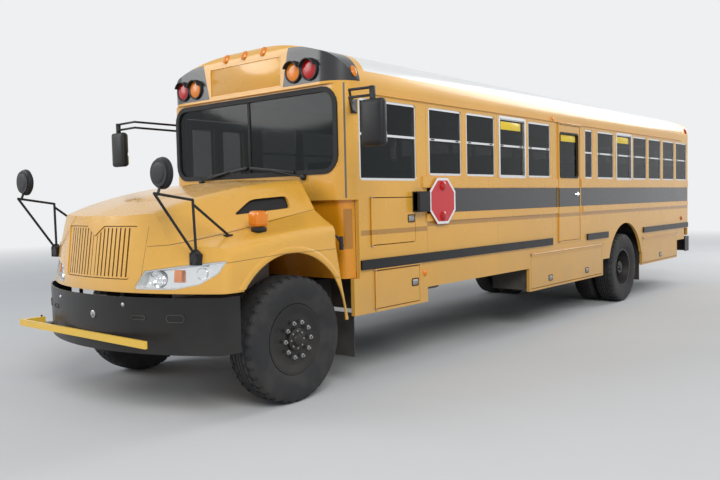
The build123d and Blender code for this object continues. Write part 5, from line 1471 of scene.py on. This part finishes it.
# %% Rivets on the rails
RIVET_PITCH = 0.1143
clear()
bpy.ops.mesh.primitive_cone_add(vertices=6, radius1=0.0065, radius2=0.0035, depth=0.003, location=(0, 0, 0.0015))
rivet = settle(bpy.context.object)
pick_top(rivet)
bpy.ops.mesh.inset(thickness=0.0012)
bpy.ops.transform.translate(value=(0, 0, 0.0006))
leave()
for side, hand in SIDES:
    runs = ((1.80, 4.60), (5.46, 9.98)) if side > 0 else ((1.80, 9.98),)
    lines = []
    for z, out in ((1.438, 0.0135), (1.752, 0.0155), (1.818, 0.0155), (2.5265, 0.0)):
        for start, end in runs:
            line = aim(copy_of(rivet, "line"), (back(start), side * (HALF + out), z), (0, side, 0))
            bpy.ops.object.modifier_add(type="ARRAY")
            array = line.modifiers[-1]
            array.use_relative_offset = False
            array.use_constant_offset = True
            array.constant_offset_displace = (-RIVET_PITCH, 0, 0)
            array.count = int((end - start) / RIVET_PITCH)
            bpy.ops.object.modifier_apply(modifier=array.name)
            lines.append(line)
    dress(joined(f"rail_rivets_{hand}", lines), "body_yellow", smooth=60)
remove(rivet)
print("rivet lines", len(lines))


# %% [markdown]
# The benches are foam under dark green vinyl. Each is two padded pieces on a steel frame: a crowned
# cushion and a tall back with rounded shoulders. One of each starts as a block, is divided, and its
# middle is pushed out, more at the centre than at the seams, before a subdivision smooths it.

# %% Padded bench pieces
SEAT_IN = 0.260
SEAT_OUT = HALF - 0.069
FLOOR_Z = 1.060
ROWS = [2.150 + number * 0.720 for number in range(11)]


def pad(name, low, high, crown, axis):
    """A stuffed block: its broad faces swell and its edges are drawn in."""
    piece = block(name, low, high, 0.022, 2)
    edit()
    bpy.ops.mesh.subdivide(number_cuts=3)
    leave()
    middle = [(a + b) / 2 for a, b in zip(low, high)]
    half = [abs(b - a) / 2 for a, b in zip(low, high)]
    for point in piece.data.vertices:
        away = [(point.co[i] - middle[i]) / half[i] for i in range(3)]
        swell = 1.0
        for i in range(3):
            if i != axis:
                swell *= 1.0 - min(1.0, abs(away[i])) ** 4
        point.co[axis] += crown * swell * (1 if away[axis] > 0 else -1)
        for i in range(3):
            if i != axis:
                point.co[i] -= 0.010 * away[i] * (1.0 - min(1.0, abs(away[axis])) ** 2) * min(1.0, abs(away[i])) ** 3
    choose(piece)
    bpy.ops.object.modifier_add(type="SUBSURF")
    piece.modifiers[-1].levels = 1
    piece.modifiers[-1].render_levels = 1
    bpy.ops.object.modifier_apply(modifier=piece.modifiers[-1].name)
    return piece


low, high = SEAT_IN + 0.004, SEAT_OUT - 0.004
cushion = pad("cushion", (-0.415, low, FLOOR_Z + 0.335), (0.0, high, FLOOR_Z + 0.435), 0.012, 2)
rest = pad("rest", (-0.474, low, FLOOR_Z + 0.365), (-0.406, high, FLOOR_Z + 1.055), 0.008, 0)
cushions, rests = [], []
BENCHES = [(number, place, side) for number, place in enumerate(ROWS) for side in (1, -1)
           if not (side > 0 and 4.5 < place < 5.4)]
for number, place, side in BENCHES:
    for kind, form, found in (("cushion", cushion, cushions), ("rest", rest, rests)):
        twin = copy_of(form, f"{kind}_{number}_{side}", mirror=side < 0)
        twin.location = (back(place), 0, 0)
        found.append(settle(twin))
for form in (cushion, rest):
    remove(form)
dress(joined("bench_cushions", cushions), "seat_vinyl", smooth=60, instead_of=("seats",))
dress(joined("bench_backs", rests), "seat_vinyl", smooth=60)
print("bench pads", len(cushions) + len(rests))

# %% [markdown]
# Each bench stands on two bent steel tubes, which are shorter over the wheel boxes. The driver's seat is
# padded like the benches, wider and higher, and stands on a round pedestal.

# %% Bench frames and the driver's seat
legs = []
for number, place, side in BENCHES:
    over_wheel = abs(back(place) - 0.360 - REAR_AXLE) < 0.72
    for y in (SEAT_IN + 0.075, SEAT_OUT - 0.055):
        foot = 1.212 if over_wheel and y > 0.54 else FLOOR_Z
        bends = ((0.400, foot), (0.380, FLOOR_Z + 0.34), (0.060, FLOOR_Z + 0.34), (0.110, foot))
        legs.append(pipe("leg", [(back(place) - behind, side * y, z) for behind, z in bends], 0.011, 1))
dress(joined("bench_frames", legs), "bare_steel")
driver = [pad("seat", (back(1.555), 0.425, FLOOR_Z + 0.385), (back(1.085), 0.915, FLOOR_Z + 0.490), 0.014, 2),
          pad("back", (back(1.635), 0.435, FLOOR_Z + 0.430), (back(1.525), 0.905, FLOOR_Z + 1.140), 0.014, 0)]
dress(joined("driver_seat", driver), "driver_cloth", smooth=60)
post = [(0.0, 0.110), (0.010, 0.110), (0.030, 0.060), (0.200, 0.050), (0.360, 0.075), (0.380, 0.180), (0.385, 0.0)]
dress(turned("driver_pedestal", post, (back(1.325), 0.670, FLOOR_Z), UP, 24), "cabin_plastic")
print("bench legs", len(legs))

# %% [markdown]
# The steering wheel's rim is a turned ring round a turned boss, and two round dials stand on the
# dashboard. They are small in the screen, but they are what one looks for there.

# %% Steering wheel and dials
DASH_X = SCREEN_X - 0.085
LEAN = (-0.5, 0, 0.866)
hub_at = Vector((DASH_X - 0.330, 0.670, 1.720))
rim = [(0.013 * math.sin(step * math.pi / 4), 0.212 + 0.013 * math.cos(step * math.pi / 4)) for step in range(9)]
wheel_parts = [turned("rim", rim, hub_at, LEAN, 40),
               turned("boss", [(-0.013, 0.046), (0.006, 0.044), (0.016, 0.030), (0.018, 0.0)], hub_at, LEAN, 24)]
dress(joined("steering_rim", wheel_parts), "black_plastic")
dials = [turned("dial", [(0.0, 0.052), (0.012, 0.052), (0.014, 0.046), (0.006, 0.044), (0.006, 0.0)],
                (DASH_X - 0.258, 0.670 + shift, 1.655), (-1, 0, 0.25), 28) for shift in (-0.060, 0.060)]
dress(joined("dials", dials), "black_plastic")
print("inside done")


# %% [markdown]
# The floor is a plain pale plane. To the camera it shows as white as the backdrop, so the bus stands on
# an endless sheet, but what lights the bus from it is an ordinary grey floor. Three large soft lamps and
# a dim sky light the bus at a level where its paint shows at about the colour that it is written in.

# %% Floor and sky
clear()
bpy.ops.mesh.primitive_plane_add(size=1500.0, location=(0.0, 0.0, 0.0))
ground = bpy.context.object
ground.name = "ground"
floor_paint = Paint("ground_pale", (0.62, 0.62, 0.61), 0.9, Specular_IOR_Level=0.15)
floor_paint.set("Base Color", floor_paint.mix(floor_paint.noise(0.6, 4.0), (0.60, 0.60, 0.59), (0.66, 0.66, 0.65)))
x, y, z = floor_paint.place()
far = ((x * x + y * y) ** 0.5).ramp(9.0, 26.0)
BACKDROP = (0.86, 0.87, 0.88)
SHOWN_TO = ("Is Camera Ray", "Is Glossy Ray", "Is Transmission Ray")
ray = sum(Wire(floor_paint, floor_paint.add("ShaderNodeLightPath", outlet=kind)) for kind in SHOWN_TO).clamp()
sheet = floor_paint.add("ShaderNodeEmission", Color=BACKDROP, Strength=1.0)
both = floor_paint.add("ShaderNodeMixShader", Fac=far * ray, s1=floor_paint.shader.outputs[0], s2=sheet)
floor_paint.links.new(both, floor_paint.output.inputs["Surface"])
ground.data.materials.append(floor_paint.material)

world = bpy.data.worlds.new("studio")
bpy.context.scene.world = world
world.use_nodes = True
sky = world.node_tree
sky.nodes.clear()
seen = sky.nodes.new("ShaderNodeLightPath")
pale, dim = (sky.nodes.new("ShaderNodeBackground") for step in range(2))
for lit, colour, strength in ((pale, BACKDROP, 1.0), (dim, (0.80, 0.88, 1.0), 0.42)):
    lit.inputs["Color"].default_value = (*colour, 1.0)
    lit.inputs["Strength"].default_value = strength
either = [sky.nodes.new("ShaderNodeMath") for step in range(2)]
blend = sky.nodes.new("ShaderNodeMixShader")
out = sky.nodes.new("ShaderNodeOutputWorld")
for step, kind in enumerate(SHOWN_TO[1:]):
    either[step].operation = "MAXIMUM"
    sky.links.new((either[0] if step else seen).outputs["Value" if step else SHOWN_TO[0]], either[step].inputs[0])
    sky.links.new(seen.outputs[kind], either[step].inputs[1])
sky.links.new(either[1].outputs[0], blend.inputs[0])
sky.links.new(dim.outputs[0], blend.inputs[1])
sky.links.new(pale.outputs[0], blend.inputs[2])
sky.links.new(blend.outputs[0], out.inputs["Surface"])
print("floor and sky done")

# %% [markdown]
# The key lamp stands ahead on the bus's left, a weaker fill on its right, and a third behind. All three
# are round area lamps nine metres wide, because the photographed bus stands in soft daylight.

# %% Lamps
LAMP_WIDTH = 9.0
# Name, place, aimed at, watts
LAMPS = (("key", (12.0, 12.0, 11.0), (1.0, 0.0, 1.4), 1750.0),
         ("fill", (14.0, -10.0, 8.0), (2.0, 0.0, 1.4), 850.0),
         ("rear", (-13.0, 4.0, 9.0), (-2.0, 0.0, 1.4), 950.0))
for name, place, target, watts in LAMPS:
    bpy.ops.object.light_add(type="AREA", location=place)
    lamp = bpy.context.object
    lamp.name = f"lamp_{name}"
    lamp.data.shape = "DISK"
    lamp.data.size = LAMP_WIDTH
    lamp.data.energy = watts
    lamp.rotation_euler = (Vector(target) - Vector(place)).to_track_quat("-Z", "Y").to_euler()
print("lamps", len(LAMPS))

# %% [markdown]
# The camera stands where the photographer stood: at head height, a little ahead of the nose on the
# bus's left, with a lens of about 37 mm on a full frame, and tilted very slightly to one side.

# %% Camera
bpy.ops.object.camera_add(location=(8.7345, 5.3930, 1.6194))
camera = bpy.context.object
camera.data.sensor_width = 36.0
camera.data.lens = 37.18
forward = Vector((-0.76331, -0.64385, -0.05303))
camera.rotation_euler = forward.to_track_quat("-Z", "Y").to_euler()
bpy.context.view_layer.update()
camera.rotation_euler.rotate_axis("Z", math.radians(-1.268))
bpy.context.scene.camera = camera
bpy.context.scene.view_settings.view_transform = "Standard"
print("camera at", [round(v, 2) for v in camera.location])
